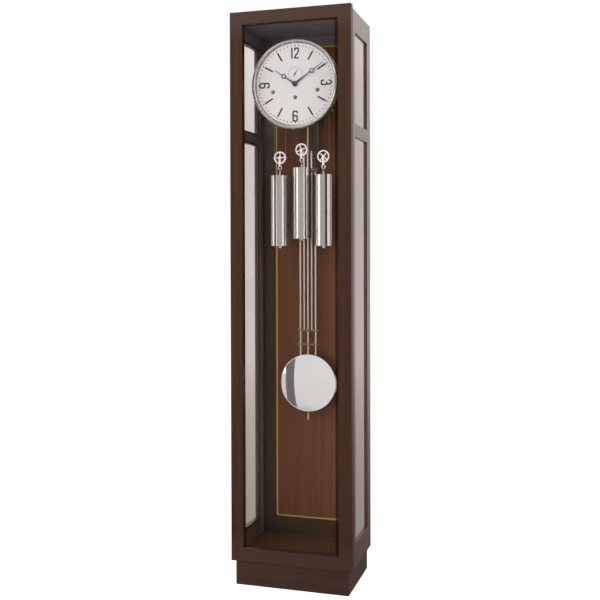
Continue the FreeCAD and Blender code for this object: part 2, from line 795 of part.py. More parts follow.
def build_dial():
    y = (dial_y, dial_y + dial_thickness)
    disc = rod_y(dial_radius, 0, y, dial_level)
    disc = disc.cut(rod_y(hour_pipe_radius + dial_pipe_gap, 0, y, dial_level))
    disc = disc.cut(rod_y(seconds_hole, 0, y, escape_z))
    for name, x, z in winding_arbors:
        disc = disc.cut(rod_y(winding_hole, x, y, z))
    feet = [
        rod_y(dial_foot_radius, sx * dial_foot_x, (y[1], plate_front_y), dial_level + sz * dial_foot_z)
        for sx in (-1, 1)
        for sz in (-1, 1)
    ]
    save("dial_plate", disc, *feet)
    front = dial_y - bezel_height
    crest = (bezel_outer + bezel_inner) / 2 + bezel_lip / 2
    rim_y = dial_y - bezel_shoulder
    lines = [
        (bezel_inner, dial_y),
        (bezel_inner + bezel_lip / 2, rim_y),
        (crest, front),
        (bezel_outer, rim_y),
        (bezel_outer, y[1] + bezel_lip),
        (dial_radius, y[1] + bezel_lip),
        (dial_radius, dial_y),
    ]
    points = [V(r, along, 0) for r, along in lines]
    crown = Part.Arc(points[1], points[2], points[3]).toShape()
    edges = [Part.makeLine(points[0], points[1]), crown]
    edges += [Part.makeLine(points[i], points[(i + 1) % len(points)]) for i in range(3, len(points))]
    bezel = Part.Face(Part.Wire(edges)).revolve(V(0, 0, 0), V(0, 1, 0), 360)
    bezel.translate(V(0, 0, dial_level))
    save("dial_bezel", bezel)


# Movement frame
def build_plates(motion_stud_front):
    x = (-plate_half_width, plate_half_width)
    z = (seat_z, dial_level + plate_top)
    front_y_range = (plate_front_y, inside_front_y)
    back_y_range = (inside_back_y, plate_back_y)
    plates = []
    for y in (front_y_range, back_y_range):
        slab = box(x, y, z)
        corners = [e for e in slab.Edges if e.BoundBox.YLength > plate_thickness / 2]
        plates.append(slab.makeFillet(plate_corner, corners))
    front, back = plates
    pivots = [(0, dial_level, centre_arbor_front), (0, escape_z, train_pivot)]
    pivots += [(third_x, third_z, train_pivot), (0, pivot_z, train_pivot)]
    for px, pz, radius in pivots:
        front = front.cut(rod_y(radius + running_clearance, px, front_y_range, pz))
        back = back.cut(rod_y(train_pivot + running_clearance, px, back_y_range, pz))
    for name, px, pz in winding_arbors:
        front = front.cut(rod_y(drum_arbor + running_clearance, px, front_y_range, pz))
        back = back.cut(rod_y(drum_arbor + running_clearance, px, back_y_range, pz))
    save("front_plate", front)
    save("back_plate", back)

    between = (inside_front_y, inside_back_y)
    pillar_x = weight_spread + cable_radius
    levels = (seat_z + pillar_bottom_rise, dial_level + plate_top - pillar_top_drop)
    posts = [rod_y(pillar_radius, side * pillar_x, between, level) for side in (-1, 1) for level in levels]
    post_y = (cable_y - cable_post_radius, inside_back_y)
    posts.append(rod_y(cable_post_radius, cable_radius, post_y, levels[0]))
    posts.append(rod_y(motion_stud, motion_x, (motion_stud_front, plate_front_y), motion_z))
    hammer_arbor_y = (plate_back_y, chime_rows[-1] + hammer_collar_share * chime_spacing / 2)
    posts.append(rod_y(hammer_arbor, hammer_arbor_side, hammer_arbor_y, hammer_arbor_z))
    save("movement_pillars", *posts)


def build_bracket():
    """Two arms on a flange screwed to the back panel carry the movement plates."""
    arm_z = (seat_z - bracket_arm_height, seat_z)
    flange_y = (back_face_y - bracket_flange_thickness, back_face_y)
    flange_z = (arm_z[0], arm_z[0] + bracket_flange_height)
    flange_x = (-bracket_flange_half_width, bracket_flange_half_width)
    flange = box(flange_x, flange_y, flange_z)
    arm_inner = bracket_arm_spread - bracket_arm_thickness / 2
    arm_outer = bracket_arm_spread + bracket_arm_thickness / 2
    arm_y = (plate_front_y, flange_y[1])
    arms = [box(across(side, arm_inner, arm_outer), arm_y, arm_z) for side in (-1, 1)]
    tie = box(
        (-bracket_arm_spread, bracket_arm_spread),
        (plate_front_y, plate_front_y + bracket_tie_depth),
        (arm_z[0], arm_z[0] + bracket_arm_thickness),
    )
    bracket = fused([flange, tie] + arms)
    screws = []
    for side in (-1, 1):
        for level in (flange_z[0] + screw_inset, flange_z[1] - screw_inset):
            x = side * (arm_inner - screw_inset)
            shank = rod_y(screw_radius, x, flange_y, level)
            head = rod_y(screw_head_radius, x, (flange_y[0] - screw_head_height, flange_y[0]), level)
            bracket = bracket.cut(shank)
            screws.append(head.fuse(shank))
    save("movement_bracket", bracket)
    save("bracket_screws", *screws)


# Drums and cables
def turn_direction(name):
    """+1 where the cable leaves the right of the drum, seen from the front."""
    return 1 if name == "left" else -1


def build_drums():
    core = cable_radius - cable_diameter / 2 - cable_seat
    wound = (cable_y - cable_pitch, drum_back_y)
    great_y = plane(great_plane, great_thickness)
    for name, x, z in winding_arbors:
        barrel = rod_y(core, x, wound, z)
        flanges = [
            rod_y(drum_flange, x, (wound[0] - drum_flange_thickness, wound[0]), z),
            rod_y(drum_flange, x, (wound[1], wound[1] + drum_flange_thickness), z),
        ]
        arbor = rod_y(drum_arbor, x, (dial_y - winding_stand, plate_back_y), z)
        solids = [fused([barrel, arbor] + flanges)]
        if name != "middle":
            module = 2 * side_great_radius / side_great_teeth
            wheel = toothed(side_great_teeth, module, wheel_tooth_share, 90, x, z, great_y)
            wheel = pierced(wheel, side_great_radius - 3 * module, drum_arbor * 3, x, z, great_y)
            solids.append(wheel.cut(rod_y(drum_arbor, x, great_y, z)))
        save(name + "_drum", *solids)


def arc_from(start, tangent, end):
    """Arc from start, leaving along tangent, to end."""
    chord = end - start
    along = V(chord).normalize()
    sideways = tangent - along * tangent.dot(along)
    half_turn = math.acos(max(-1.0, min(1.0, tangent.dot(along))))
    bulge = chord.Length / 2 * math.tan(half_turn / 2)
    middle = start + chord * 0.5 + V(sideways).normalize() * bulge
    return Part.Arc(start, middle, end).toShape()


def biarc(start, leave, end, arrive):
    """Two arcs that join start to end, tangent to leave and arrive."""
    span = end - start
    both = leave + arrive
    turn = 2 * (1 - leave.dot(arrive))
    reach = (-span.dot(both) + math.sqrt(span.dot(both) ** 2 + turn * span.dot(span))) / turn
    joint = (start + leave * reach + end - arrive * reach) * 0.5
    second = arc_from(end, arrive * -1, joint)
    return [arc_from(start, leave, joint), second]


def winding(x, z, direction):
    """Quarter-turn points and tangents of the cable, up from the run and back along the drum."""
    points, tangents = [], []
    climb = cable_pitch / (2 * math.pi * cable_radius)
    last = 4 * cable_turns
    for i in range(last + 1):
        angle = i * math.pi / 2
        y = cable_y + cable_pitch * i / 4
        px, pz = polar(cable_radius, 90 * i, 0, z)
        points.append(V(x + direction * px, y, pz))
        around = V(-direction * math.sin(angle), climb if 0 < i < last else 0, math.cos(angle))
        tangents.append(around.normalize())
    return points, tangents


def drum_end(start):
    """Quarter bend and straight run from the last turn into the drum's rear flange."""
    slope = cable_bend * math.sqrt(0.5)
    middle = start + V(0, cable_bend - slope, slope)
    bent = start + V(0, cable_bend, cable_bend)
    flange = V(bent.x, drum_back_y, bent.z)
    return [Part.Arc(start, middle, bent).toShape(), Part.makeLine(bent, flange)]


def print_least_gap(name, points):
    """Least clear gap between turns of the winding, measured on its points."""
    gaps = [
        (points[i] - points[j]).Length - cable_diameter
        for i in range(len(points))
        for j in range(i + 3, len(points))
    ]
    print(name, "least gap between turns, mm:", round(min(gaps), 3))


def pulley_level(name):
    lift = middle_weight_lift if name == "middle" else 0.0
    return dial_level - side_weight_drop + lift + pulley_rise


def build_cables():
    for name, x, z in winding_arbors:
        direction = turn_direction(name)
        pulley_z = pulley_level(name)
        post = cable_post_radius if name == "middle" else pillar_radius
        top = V(x - direction * cable_radius, cable_y, seat_z + pillar_bottom_rise - post)
        down = V(top.x, cable_y, pulley_z)
        under = V(x, cable_y, pulley_z - cable_radius)
        up = V(x + direction * cable_radius, cable_y, pulley_z)
        points, tangents = winding(x, z, direction)
        edges = [Part.makeLine(top, down), Part.Arc(down, under, up).toShape()]
        edges.append(Part.makeLine(up, points[0]))
        for i in range(len(points) - 1):
            edges += biarc(points[i], tangents[i], points[i + 1], tangents[i + 1])
        edges += drum_end(points[-1])
        path = Part.Wire(Part.__sortEdges__(edges))
        section = Part.Wire(Part.makeCircle(cable_diameter / 2, top, V(0, 0, -1)))
        cable = path.makePipeShell([section], True, False)
        print_least_gap(name, points)
        share = cable.Volume / (Part.Face(section).Area * path.Length)
        print(name, "cable volume over section times length:", round(share, 4))
        save(name + "_cable", cable)


# Weights
def build_weights():
    for name, x, z in winding_arbors:
        pulley_z = pulley_level(name)
        top = pulley_z - pulley_rise
        low = top - weight_height
        body_z = (low + weight_cap, top - weight_cap)
        hollow = weight_radius - weight_wall
        shell = rod_z(weight_radius, x, cable_y, body_z).cut(rod_z(hollow, x, cable_y, body_z))
        core = rod_z(hollow - weight_core_gap, x, cable_y, body_z)
        lip = weight_radius + weight_cap_lip
        top_cap = rod_z(lip, x, cable_y, (body_z[1], top))
        bottom_cap = rod_z(lip, x, cable_y, (low, body_z[0]))
        knob = rod_z(weight_knob, x, cable_y, (low - weight_knob_height, low))
        knob_middle = low - weight_knob_height / 2
        knob = knob.makeFillet(weight_knob_round, [e for e in knob.Edges if e.BoundBox.ZMax < knob_middle])
        eye_z = pulley_z - pulley_radius - stirrup_foot_gap - stirrup_block - link_radius
        link_z = eye_z - 2 * link_radius + 2 * link_wire + link_play
        link = Part.makeTorus(link_radius, link_wire, V(x, cable_y, link_z), V(1, 0, 0))
        stud = rod_z(link_wire * 2, x, cable_y, (top, link_z - link_radius))
        save(name + "_weight", shell, core, fused([top_cap, stud, link]), fused([bottom_cap, knob]))

        half = pulley_width / 2
        cheek_y = (half + stirrup_gap, half + stirrup_gap + stirrup_thickness)
        foot = pulley_z - pulley_radius - stirrup_foot_gap
        block_z = (foot - stirrup_block, foot)
        width = (x - stirrup_width / 2, x + stirrup_width / 2)
        cheek_z = (block_z[0], pulley_z + stirrup_width / 2)
        cheeks = [
            box(width, (cable_y - cheek_y[1], cable_y - cheek_y[0]), cheek_z),
            box(width, (cable_y + cheek_y[0], cable_y + cheek_y[1]), cheek_z),
        ]
        block = box(width, (cable_y - cheek_y[1], cable_y + cheek_y[1]), block_z)
        pin = rod_y(pulley_pin, x, (cable_y - cheek_y[1], cable_y + cheek_y[1]), pulley_z)
        eye = Part.makeTorus(link_radius, link_wire, V(x, cable_y, eye_z), V(0, 1, 0))
        save(name + "_stirrup", fused(cheeks + [block, pin, eye]))

        wheel_y = (cable_y - half, cable_y + half)
        rim = rod_y(pulley_radius, x, wheel_y, pulley_z).cut(rod_y(pulley_rim_inner, x, wheel_y, pulley_z))
        groove_floor = cable_radius - cable_diameter / 2 - cable_seat
        groove_half = cable_diameter / 2 + cable_seat
        mouth = groove_half + (pulley_radius - groove_floor) / 2
        profile = [
            (groove_floor, -groove_half),
            (pulley_radius, -mouth),
            (pulley_radius, mouth),
            (groove_floor, groove_half),
        ]
        ring = Part.makePolygon([V(r, along, 0) for r, along in profile + profile[:1]])
        groove = Part.Face(ring).revolve(V(0, 0, 0), V(0, 1, 0), 360)
        groove.translate(V(x, cable_y, pulley_z))
        hub = rod_y(pulley_hub, x, wheel_y, pulley_z)
        spokes = []
        spoke_length = (pulley_rim_inner + groove_floor) / 2
        for i in range(pulley_spokes):
            bar = box((0, spoke_length), (-half / 2, half / 2), (-pulley_spoke / 2, pulley_spoke / 2))
            bar.rotate(V(0, 0, 0), V(0, 1, 0), pulley_turned[name] + i * 360 / pulley_spokes)
            bar.translate(V(x, cable_y, pulley_z))
            spokes.append(bar)
        wheel = fused([rim.cut(groove), hub] + spokes)
        save(name + "_pulley", wheel.cut(rod_y(pulley_pin + running_clearance, x, wheel_y, pulley_z)))


# Pendulum
def build_pendulum():
    spring_z = (pivot_z - spring_length, pivot_z - spring_gap)
    thin = (-spring_thickness / 2, spring_thickness / 2)
    save("suspension_spring", box(thin, grown((pendulum_y, pendulum_y), spring_width / 2), spring_z))
    hook_z = (spring_z[0] - hook_height, spring_z[0])
    across_hook = (-hook_width / 2, hook_width / 2)
    save("pendulum_hook", box(across_hook, grown((pendulum_y, pendulum_y), hook_width / 2), hook_z))

    top_z = grown((bob_z + grid_top_rise, bob_z + grid_top_rise), grid_top_height / 2)
    upper_z = grown((bob_z + grid_upper_bar_rise, bob_z + grid_upper_bar_rise), grid_bar_height / 2)
    lower_z = grown((bob_z + grid_lower_bar_rise, bob_z + grid_lower_bar_rise), grid_bar_height / 2)
    outer_x = 2 * grid_spacing
    nut_top = bob_z - bob_radius - nut_gap
    stem_low = nut_top - nut_height - stem_below_nut
    outer_low = bob_z + math.sqrt(bob_radius**2 - (outer_x - grid_rod) ** 2) + nut_gap
    steel = [rod_z(grid_rod, 0, pendulum_y, (stem_low, hook_z[0]))]
    steel += [rod_z(grid_rod, side * outer_x, pendulum_y, (outer_low, top_z[1])) for side in (-1, 1)]
    save("grid_steel_rods", *steel)
    brass_z = (upper_z[0], top_z[1] + brass_rod_overrun)
    brass = [rod_z(grid_rod, side * grid_spacing, pendulum_y, brass_z) for side in (-1, 1)]
    save("grid_brass_rods", *brass)

    half_length = outer_x + grid_rod + grid_bar_overhang
    depth = grown((pendulum_y, pendulum_y), grid_bar_depth / 2)
    bars = []
    for z in (top_z, upper_z, lower_z):
        bar = box((-half_length, half_length), depth, z)
        level = (z[0] + z[1]) / 2
        for side in (-1, 1):
            end = V(side * half_length, pendulum_y, level)
            aim = V(side, 0, 0)
            bar = bar.fuse(Part.makeCone(grid_bar_height / 2, grid_bar_tip, grid_bar_point, end, aim))
        bars.append(bar)
    holes = Part.Compound(steel + brass)
    save("grid_bridges", *[bar.cut(holes) for bar in bars])

    channel = rod_z(grid_rod + rod_clearance, 0, pendulum_y, (bob_z - bob_radius, bob_z + bob_radius))
    rim = bob_rim / 2
    crown = bob_radius - bob_rim_land

    def shell_half(side):
        outer = [V(0, side * (rim + bob_crown), 0), V(crown, side * rim, 0)]
        outer += [V(bob_radius, side * rim, 0), V(bob_radius, 0, 0)]
        inner = [
            V(bob_radius - bob_wall, 0, 0),
            V(bob_radius - bob_wall, side * (rim - bob_wall), 0),
            V(crown, side * (rim - bob_wall), 0),
            V(0, side * (rim + bob_crown - bob_wall), 0),
        ]
        sphere = (crown**2 + bob_crown**2) / (2 * bob_crown)
        bulge = side * (rim + bob_crown - sphere + math.sqrt(sphere**2 - crown**2 / 4))
        edges = [Part.Arc(outer[0], V(crown / 2, bulge, 0), outer[1]).toShape()]
        straight = outer[1:] + inner[:3]
        edges += [Part.makeLine(a, b) for a, b in zip(straight, straight[1:])]
        edges.append(Part.Arc(inner[2], V(crown / 2, bulge - side * bob_wall, 0), inner[3]).toShape())
        edges.append(Part.makeLine(inner[3], outer[0]))
        half = Part.Face(Part.Wire(edges)).revolve(V(0, 0, 0), V(0, 1, 0), 360)
        half.translate(V(0, pendulum_y, bob_z))
        return half.cut(channel)

    core_y = grown((pendulum_y, pendulum_y), bob_core_thickness / 2)
    core = rod_y(bob_core_radius, 0, core_y, bob_z).cut(channel)
    save("pendulum_bob", shell_half(-1), shell_half(1), core)

    nut_z = (nut_top - nut_height, nut_top)
    nut = Part.makeCone(nut_tip_radius, nut_radius, nut_height, V(0, pendulum_y, nut_z[0]))
    save("rating_nut", nut.cut(rod_z(grid_rod + running_clearance, 0, pendulum_y, nut_z)))


def build_cock():
    """Bracket on the back plate whose chops hold the suspension spring."""
    wide = (-cock_half_width, cock_half_width)
    beam_z = (pivot_z + cock_lift, pivot_z + cock_lift + cock_height)
    beam = box(wide, (plate_back_y, pendulum_y + cock_overhang), beam_z)
    chops = box(wide, grown((pendulum_y, pendulum_y), spring_width / 2), (pivot_z, beam_z[0]))
    foot = box(wide, (plate_back_y, plate_back_y + cock_lift), (beam_z[0], dial_level + plate_top))
    save("suspension_cock", fused([beam, chops, foot]))


# Chime
def build_chime():
    block_low = dial_level + chime_block_rise
    block_z = (block_low, block_low + chime_block_height)
    block_x = grown((chime_side, chime_side), chime_block_half_width)
    block_y = (chime_rows[0] - chime_block_margin, back_face_y)
    save("chime_block", box(block_x, block_y, block_z))
    rods = [
        rod_z(chime_rod_radius, chime_side, y, (block_z[0] - chime_length + i * chime_step, block_z[0]))
        for i, y in enumerate(chime_rows)
    ]
    save("chime_rods", *rods)
    hammers = []
    head_z = block_z[0] - hammer_head_drop
    head_x = chime_side + chime_rod_radius + hammer_gap
    for y in chime_rows:
        span = grown((y, y), hammer_collar_share * chime_spacing / 2)
        collar = rod_y(hammer_collar, hammer_arbor_side, span, hammer_arbor_z)
        head_radius = hammer_head_share * chime_spacing
        head = rod_x(head_radius, (head_x, head_x + hammer_head_length), y, head_z)
        start = V(hammer_arbor_side, y, hammer_arbor_z)
        end = V(head_x + hammer_stem_at, y, head_z)
        stem = Part.makeCylinder(hammer_stem, (end - start).Length, start, end - start)
        bore = rod_y(hammer_arbor + running_clearance, hammer_arbor_side, span, hammer_arbor_z)
        hammers.append(fused([collar, head, stem]).cut(bore))
    save("chime_hammers", *hammers)


def main():
    os.makedirs("parts", exist_ok=True)
    build_plinth()
    build_floor_and_top()
    build_side(-1, "left_side_frame")
    build_side(1, "right_side_frame")
    build_side_panes()
    build_back()
    build_door()
    build_hinges()
    build_catch()
    build_going_train()
    build_pallets()
    stud_front = build_motion_work()
    build_hands()
    build_dial()
    build_plates(stud_front)
    build_bracket()
    build_drums()
    build_cables()
    build_weights()
    build_pendulum()
    build_cock()
    build_chime()


main()
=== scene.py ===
# %% [markdown]
# # A longcase clock in a glazed walnut case
# The clock stands 1.9 m tall: a plain dark case, one tall bevelled glass in the door, a round
# silvered dial, three polished weights on steel cables and a gridiron pendulum with a mirror bob.
# The solids are already built and jointed, so they are loaded first as a fixed frame. This lesson
# gives them finishes and adds what only shows close up: the print on the dial, bushes, screws,
# ferrules and the laid wires of the cables.

# %% Load the frame
import math

import bpy
from mathutils import Matrix, Vector


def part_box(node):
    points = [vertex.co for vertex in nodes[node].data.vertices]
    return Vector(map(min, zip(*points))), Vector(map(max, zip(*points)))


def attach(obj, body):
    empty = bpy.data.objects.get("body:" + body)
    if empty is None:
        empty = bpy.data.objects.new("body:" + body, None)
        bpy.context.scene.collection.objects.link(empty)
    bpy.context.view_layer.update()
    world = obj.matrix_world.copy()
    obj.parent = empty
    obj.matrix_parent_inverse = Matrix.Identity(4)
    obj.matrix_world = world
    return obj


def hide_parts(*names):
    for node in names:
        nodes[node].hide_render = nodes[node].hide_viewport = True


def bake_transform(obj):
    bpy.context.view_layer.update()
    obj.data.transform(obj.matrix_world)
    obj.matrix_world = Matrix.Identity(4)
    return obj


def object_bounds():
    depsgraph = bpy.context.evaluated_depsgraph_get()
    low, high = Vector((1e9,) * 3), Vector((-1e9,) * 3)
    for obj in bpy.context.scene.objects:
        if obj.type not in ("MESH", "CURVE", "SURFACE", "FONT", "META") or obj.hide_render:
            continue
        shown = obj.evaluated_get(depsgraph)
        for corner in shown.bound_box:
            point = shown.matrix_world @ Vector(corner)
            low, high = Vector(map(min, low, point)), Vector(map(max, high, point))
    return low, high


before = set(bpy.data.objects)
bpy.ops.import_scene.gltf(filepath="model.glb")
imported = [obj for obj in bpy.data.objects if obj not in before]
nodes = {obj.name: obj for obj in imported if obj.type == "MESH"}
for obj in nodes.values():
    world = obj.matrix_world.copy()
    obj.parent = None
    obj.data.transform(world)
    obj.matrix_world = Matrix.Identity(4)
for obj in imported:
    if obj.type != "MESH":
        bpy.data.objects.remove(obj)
cad_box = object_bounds()
scene = bpy.context.scene
mm = 0.001
rounded = [tuple(round(v, 3) for v in corner) for corner in cad_box]
print("solids loaded:", len(nodes), "box:", rounded)

# %% [markdown]
# ## Small helpers for shaders
# Finishes are written as the hex colours that a paint chart gives, which are sRGB, while the
# sockets of a shader take linear values, so one function converts them. A second one adds a node,
# fills in its settings and plugs in what feeds it, so that a finish reads as a list of steps. The
# trace that growth or tools leave in a material has a size, so the last helper makes a noise from
# a size in millimetres.


# %% Colour and node helpers
def linear(hex_colour):
    """An sRGB hex colour as the linear values that a socket takes."""
    parts = [int(hex_colour[i : i + 2], 16) / 255 for i in (1, 3, 5)]
    return [c / 12.92 if c <= 0.04045 else ((c + 0.055) / 1.055) ** 2.4 for c in parts] + [1.0]


def add_node(tree, kind, settings=None, links=None):
    """One node, its settings, and what feeds it: an output, or a node that stands for its first."""
    node = tree.nodes.new("ShaderNode" + kind)
    for name, value in (settings or {}).items():
        if isinstance(name, str) and hasattr(node, name):
            setattr(node, name, value)
        else:
            node.inputs[name].default_value = value
    for name, source in (links or {}).items():
        output = source if isinstance(source, bpy.types.NodeSocket) else source.outputs[0]
        tree.links.new(output, node.inputs[name])
    return node


def blank_tree(owner):
    """The empty node tree of a material or a world."""
    owner.use_nodes = True
    owner.node_tree.nodes.clear()
    return owner.node_tree


def patches(tree, size_mm, detail, place=None, distortion=0.0):
    """A noise with patches of this size along X, Y and Z, in object coordinates or at a place."""
    if place is None:
        place = add_node(tree, "TexCoord").outputs["Object"]
    sized = add_node(tree, "Mapping", {"Scale": [1000 / s for s in size_mm]}, {"Vector": place})
    settings = {"Scale": 1.0, "Detail": detail, "Distortion": distortion}
    return add_node(tree, "TexNoise", settings, {"Vector": sized})


print("walnut brown as linear:", [round(v, 4) for v in linear("#573E33")])

# %% [markdown]
# ## The camera
# The photograph was taken at chest height from the right of the clock, level enough that the
# uprights stay upright. A shift of the lens frames the clock the way a view camera does, so the
# verticals stay parallel without tilting the camera.

# %% Camera
camera_spot = (0.877, -2.918, 1.121)
turn_degrees, tilt_degrees, roll_degrees = 16.86, 90 - 0.62, -0.14
sensor_mm, lens_mm = 36.0, 53.71
lens_shift = -0.0705

camera = bpy.data.objects.new("camera", bpy.data.cameras.new("camera"))
scene.collection.objects.link(camera)
camera.data.sensor_width = sensor_mm
camera.data.lens = lens_mm
camera.data.shift_y = lens_shift
camera.data.clip_end = 200.0
turn = Matrix.Rotation(math.radians(turn_degrees), 4, "Z")
tilt = Matrix.Rotation(math.radians(tilt_degrees), 4, "X")
roll = Matrix.Rotation(math.radians(roll_degrees), 4, "Z")
camera.matrix_world = Matrix.Translation(camera_spot) @ turn @ tilt @ roll
scene.camera = camera
scene.view_settings.view_transform = "Standard"
print("camera at", [round(v, 3) for v in camera.matrix_world.translation])

# %% [markdown]
# ## The studio
# A white sweep surrounds the clock, and mirror metal and glass have to show it too. The world is
# therefore white to the camera, to mirrors and through glass, and dimmer as a lamp, so that the
# wood is lit at a plain level. A ray that has already left a matt surface counts as lamp light.

# %% Rays that see the sweep
lamp_level, seen_level = 0.55, 1.0

world = bpy.data.worlds.new("white_sweep")
scene.world = world
tree = blank_tree(world)
rays = add_node(tree, "LightPath").outputs
first = add_node(tree, "Math", {"operation": "LESS_THAN", 1: 0.5}, {0: rays["Diffuse Depth"]})
passed = {0: rays["Is Glossy Ray"], 1: rays["Is Transmission Ray"]}
passed = add_node(tree, "Math", {"operation": "MAXIMUM"}, passed)
passed = add_node(tree, "Math", {"operation": "MULTIPLY"}, {0: passed, 1: first})
mirrored = add_node(tree, "Math", {"operation": "GREATER_THAN", 1: 0.5}, {0: rays["Glossy Depth"]})
mirrored = add_node(tree, "Math", {"operation": "MULTIPLY"}, {0: mirrored, 1: first})
seen = add_node(tree, "Math", {"operation": "MAXIMUM"}, {0: passed, 1: rays["Is Camera Ray"]})
level = add_node(tree, "MapRange", {"To Min": lamp_level, "To Max": seen_level}, {"Value": seen})
print("world:", world.name)

# %% [markdown]
# Round metal shows what stands beside the clock: a tall bright screen on the left and a weaker one
# on the right draw the white stripes down the weights, so mirrors find both in the sweep. Behind
# the clock the sweep is brighter higher up, which lightens the head of the side panes.

# %% Screens, and the light behind
higher_up = {"From Min": 0.1, "From Max": 0.24, "To Max": 0.36}
screens = ((-60, 2.4), (68, 1.5))  # bearing in degrees, left and right of the front, and glare
screen_half_width = 29

way = add_node(tree, "TexCoord").outputs["Generated"]
x, y, z = add_node(tree, "SeparateXYZ", None, {0: way}).outputs
overhead = add_node(tree, "MapRange", higher_up, {"Value": z})
behind = add_node(tree, "Math", {"operation": "GREATER_THAN", 1: 0.0}, {0: y})
behind = add_node(tree, "Math", {"operation": "MULTIPLY"}, {0: behind, 1: passed})
level = add_node(tree, "Math", {"operation": "MULTIPLY_ADD"}, {0: overhead, 1: behind, 2: level})
front = add_node(tree, "Math", {"operation": "MULTIPLY", 1: -1.0}, {0: y})
bearing = add_node(tree, "Math", {"operation": "ARCTAN2"}, {0: x, 1: front})
for middle, glare in screens:
    span = {"operation": "COMPARE", 1: math.radians(middle), 2: math.radians(screen_half_width)}
    screen = add_node(tree, "Math", span, {0: bearing})
    screen = add_node(tree, "Math", {"operation": "MULTIPLY"}, {0: screen, 1: mirrored})
    level = add_node(tree, "Math", {"operation": "MULTIPLY_ADD", 1: glare}, {0: screen, 2: level})
print("screens:", len(screens))

# %% [markdown]
# What is mirrored or lit by the sweep comes out a little warm, as from a room with daylight lamps,
# and what the polished side mirrors from behind the clock is rosier still. Only the camera itself
# sees plain white.

# %% Colour of the sweep
white = (1, 1, 1, 1)
daylight = linear("#FFFBF9")
rosy_daylight = linear("#FFF3F1")

rosy = add_node(tree, "Math", {"operation": "MULTIPLY"}, {0: behind, 1: mirrored})
warm = {"data_type": "RGBA", 6: daylight, 7: rosy_daylight}
warm = add_node(tree, "Mix", warm, {0: rosy})
colour = {0: rays["Is Camera Ray"], 6: warm.outputs[2]}
colour = add_node(tree, "Mix", {"data_type": "RGBA", 7: white}, colour)
sky = add_node(tree, "Background", None, {"Color": colour.outputs[2], "Strength": level})
add_node(tree, "OutputWorld", None, {"Surface": sky})
print("nodes in the world:", len(tree.nodes))

# %% [markdown]
# The floor is the same pale sheet. To the camera it glows just enough to reach white where the
# lamps light it, so the clock's own shadow is what stays darker.

# %% Pale floor
floor_glow = 0.7

bpy.ops.object.select_all(action="DESELECT")
bpy.ops.mesh.primitive_plane_add(size=60, location=(0, 0, 0))
floor = bpy.context.object
floor.name = "pale_floor"
sheet = bpy.data.materials.new("white_paper_sweep")
tree = blank_tree(sheet)
rays = add_node(tree, "LightPath").outputs
first = add_node(tree, "Math", {"operation": "LESS_THAN", 1: 0.5}, {0: rays["Diffuse Depth"]})
direct = {0: rays["Is Camera Ray"], 1: rays["Is Transmission Ray"]}
direct = add_node(tree, "Math", {"operation": "MAXIMUM"}, direct)
direct = add_node(tree, "Math", {"operation": "MULTIPLY"}, {0: direct, 1: first})
glow = add_node(tree, "Math", {"operation": "MULTIPLY", 1: floor_glow}, {0: direct})
matt = add_node(tree, "BsdfDiffuse", {"Color": linear("#E8E6E4")})
lift = add_node(tree, "Emission", {"Color": white}, {"Strength": glow})
paper = add_node(tree, "AddShader", None, {0: matt, 1: lift})
print("floor:", floor.name)

# %% [markdown]
# Mirrors see the floor bright in front of the clock and darker beside it, and that shades the
# polished sides towards the foot. Clear panes find it brighter there than the lacquer does; their
# rays are the perfectly sharp ones. Through one pane the floor is as white as to the camera,
# through two it is shaded like a reflection. Far off it takes the tone of the sweep, so that no
# horizon shows.

# %% Floor in mirrors
warm_floor = linear("#FFF2E9")
beside = {"From Min": 0.4, "From Max": 6.0, "To Max": 1.0}  # metres from the clock, and brightness
in_lacquer, in_panes = 0.2, 0.54  # brightness of the floor beside the clock
front_edge = {"From Min": -0.3, "From Max": -0.9}  # metres along Y
in_front = {"From Min": 0.5, "From Max": 9.0, "To Min": 0.96, "To Max": 1.0}
far_off = {"From Min": 1.0, "From Max": 8.0}
two_panes = 2.5  # a ray passes two surfaces in each pane

place = add_node(tree, "TexCoord").outputs["Object"]
far = add_node(tree, "VectorMath", {"operation": "LENGTH"}, {0: place}).outputs["Value"]
near = {"To Min": in_lacquer, "To Max": in_panes}
near = add_node(tree, "MapRange", near, {"Value": rays["Is Singular Ray"]})
fade = add_node(tree, "MapRange", beside, {"Value": far, "To Min": near})
along = add_node(tree, "SeparateXYZ", None, {0: place}).outputs["Y"]
ahead = add_node(tree, "MapRange", front_edge, {"Value": along})
bright = add_node(tree, "MapRange", in_front, {"Value": far})
bright = add_node(tree, "Math", {"operation": "MULTIPLY"}, {0: ahead, 1: bright})
fade = add_node(tree, "Math", {"operation": "MAXIMUM"}, {0: fade, 1: bright})
distant = add_node(tree, "MapRange", far_off, {"Value": far})
warmth = {"data_type": "RGBA", 6: warm_floor, 7: rosy_daylight}
warmth = add_node(tree, "Mix", warmth, {0: distant})
cooler = {0: ahead, 6: warmth.outputs[2]}
warmth = add_node(tree, "Mix", {"data_type": "RGBA", 7: daylight}, cooler)
shaded = add_node(tree, "Emission", None, {"Color": warmth.outputs[2], "Strength": fade})
mirrored = add_node(tree, "Math", {"operation": "GREATER_THAN", 1: 0.5}, {0: rays["Glossy Depth"]})
through = {"operation": "GREATER_THAN", 1: two_panes}
through = add_node(tree, "Math", through, {0: rays["Transmission Depth"]})
glossy = add_node(tree, "Math", {"operation": "MAXIMUM"}, {0: mirrored, 1: through})
glossy = add_node(tree, "Math", {"operation": "MULTIPLY"}, {0: glossy, 1: first})
shown = add_node(tree, "MixShader", None, {0: glossy, 1: paper, 2: shaded})
add_node(tree, "OutputMaterial", None, {"Surface": shown})
floor.data.materials.append(sheet)
print("nodes in the floor:", len(tree.nodes))

# %% [markdown]
# Two soft lamps do the rest: a very large one in front on the left, no higher than the dial so that
# the top of the case isn't shaded by its own door, and a weaker one on the right. They are hidden
# from mirrors, because there the white sheet is what shows.


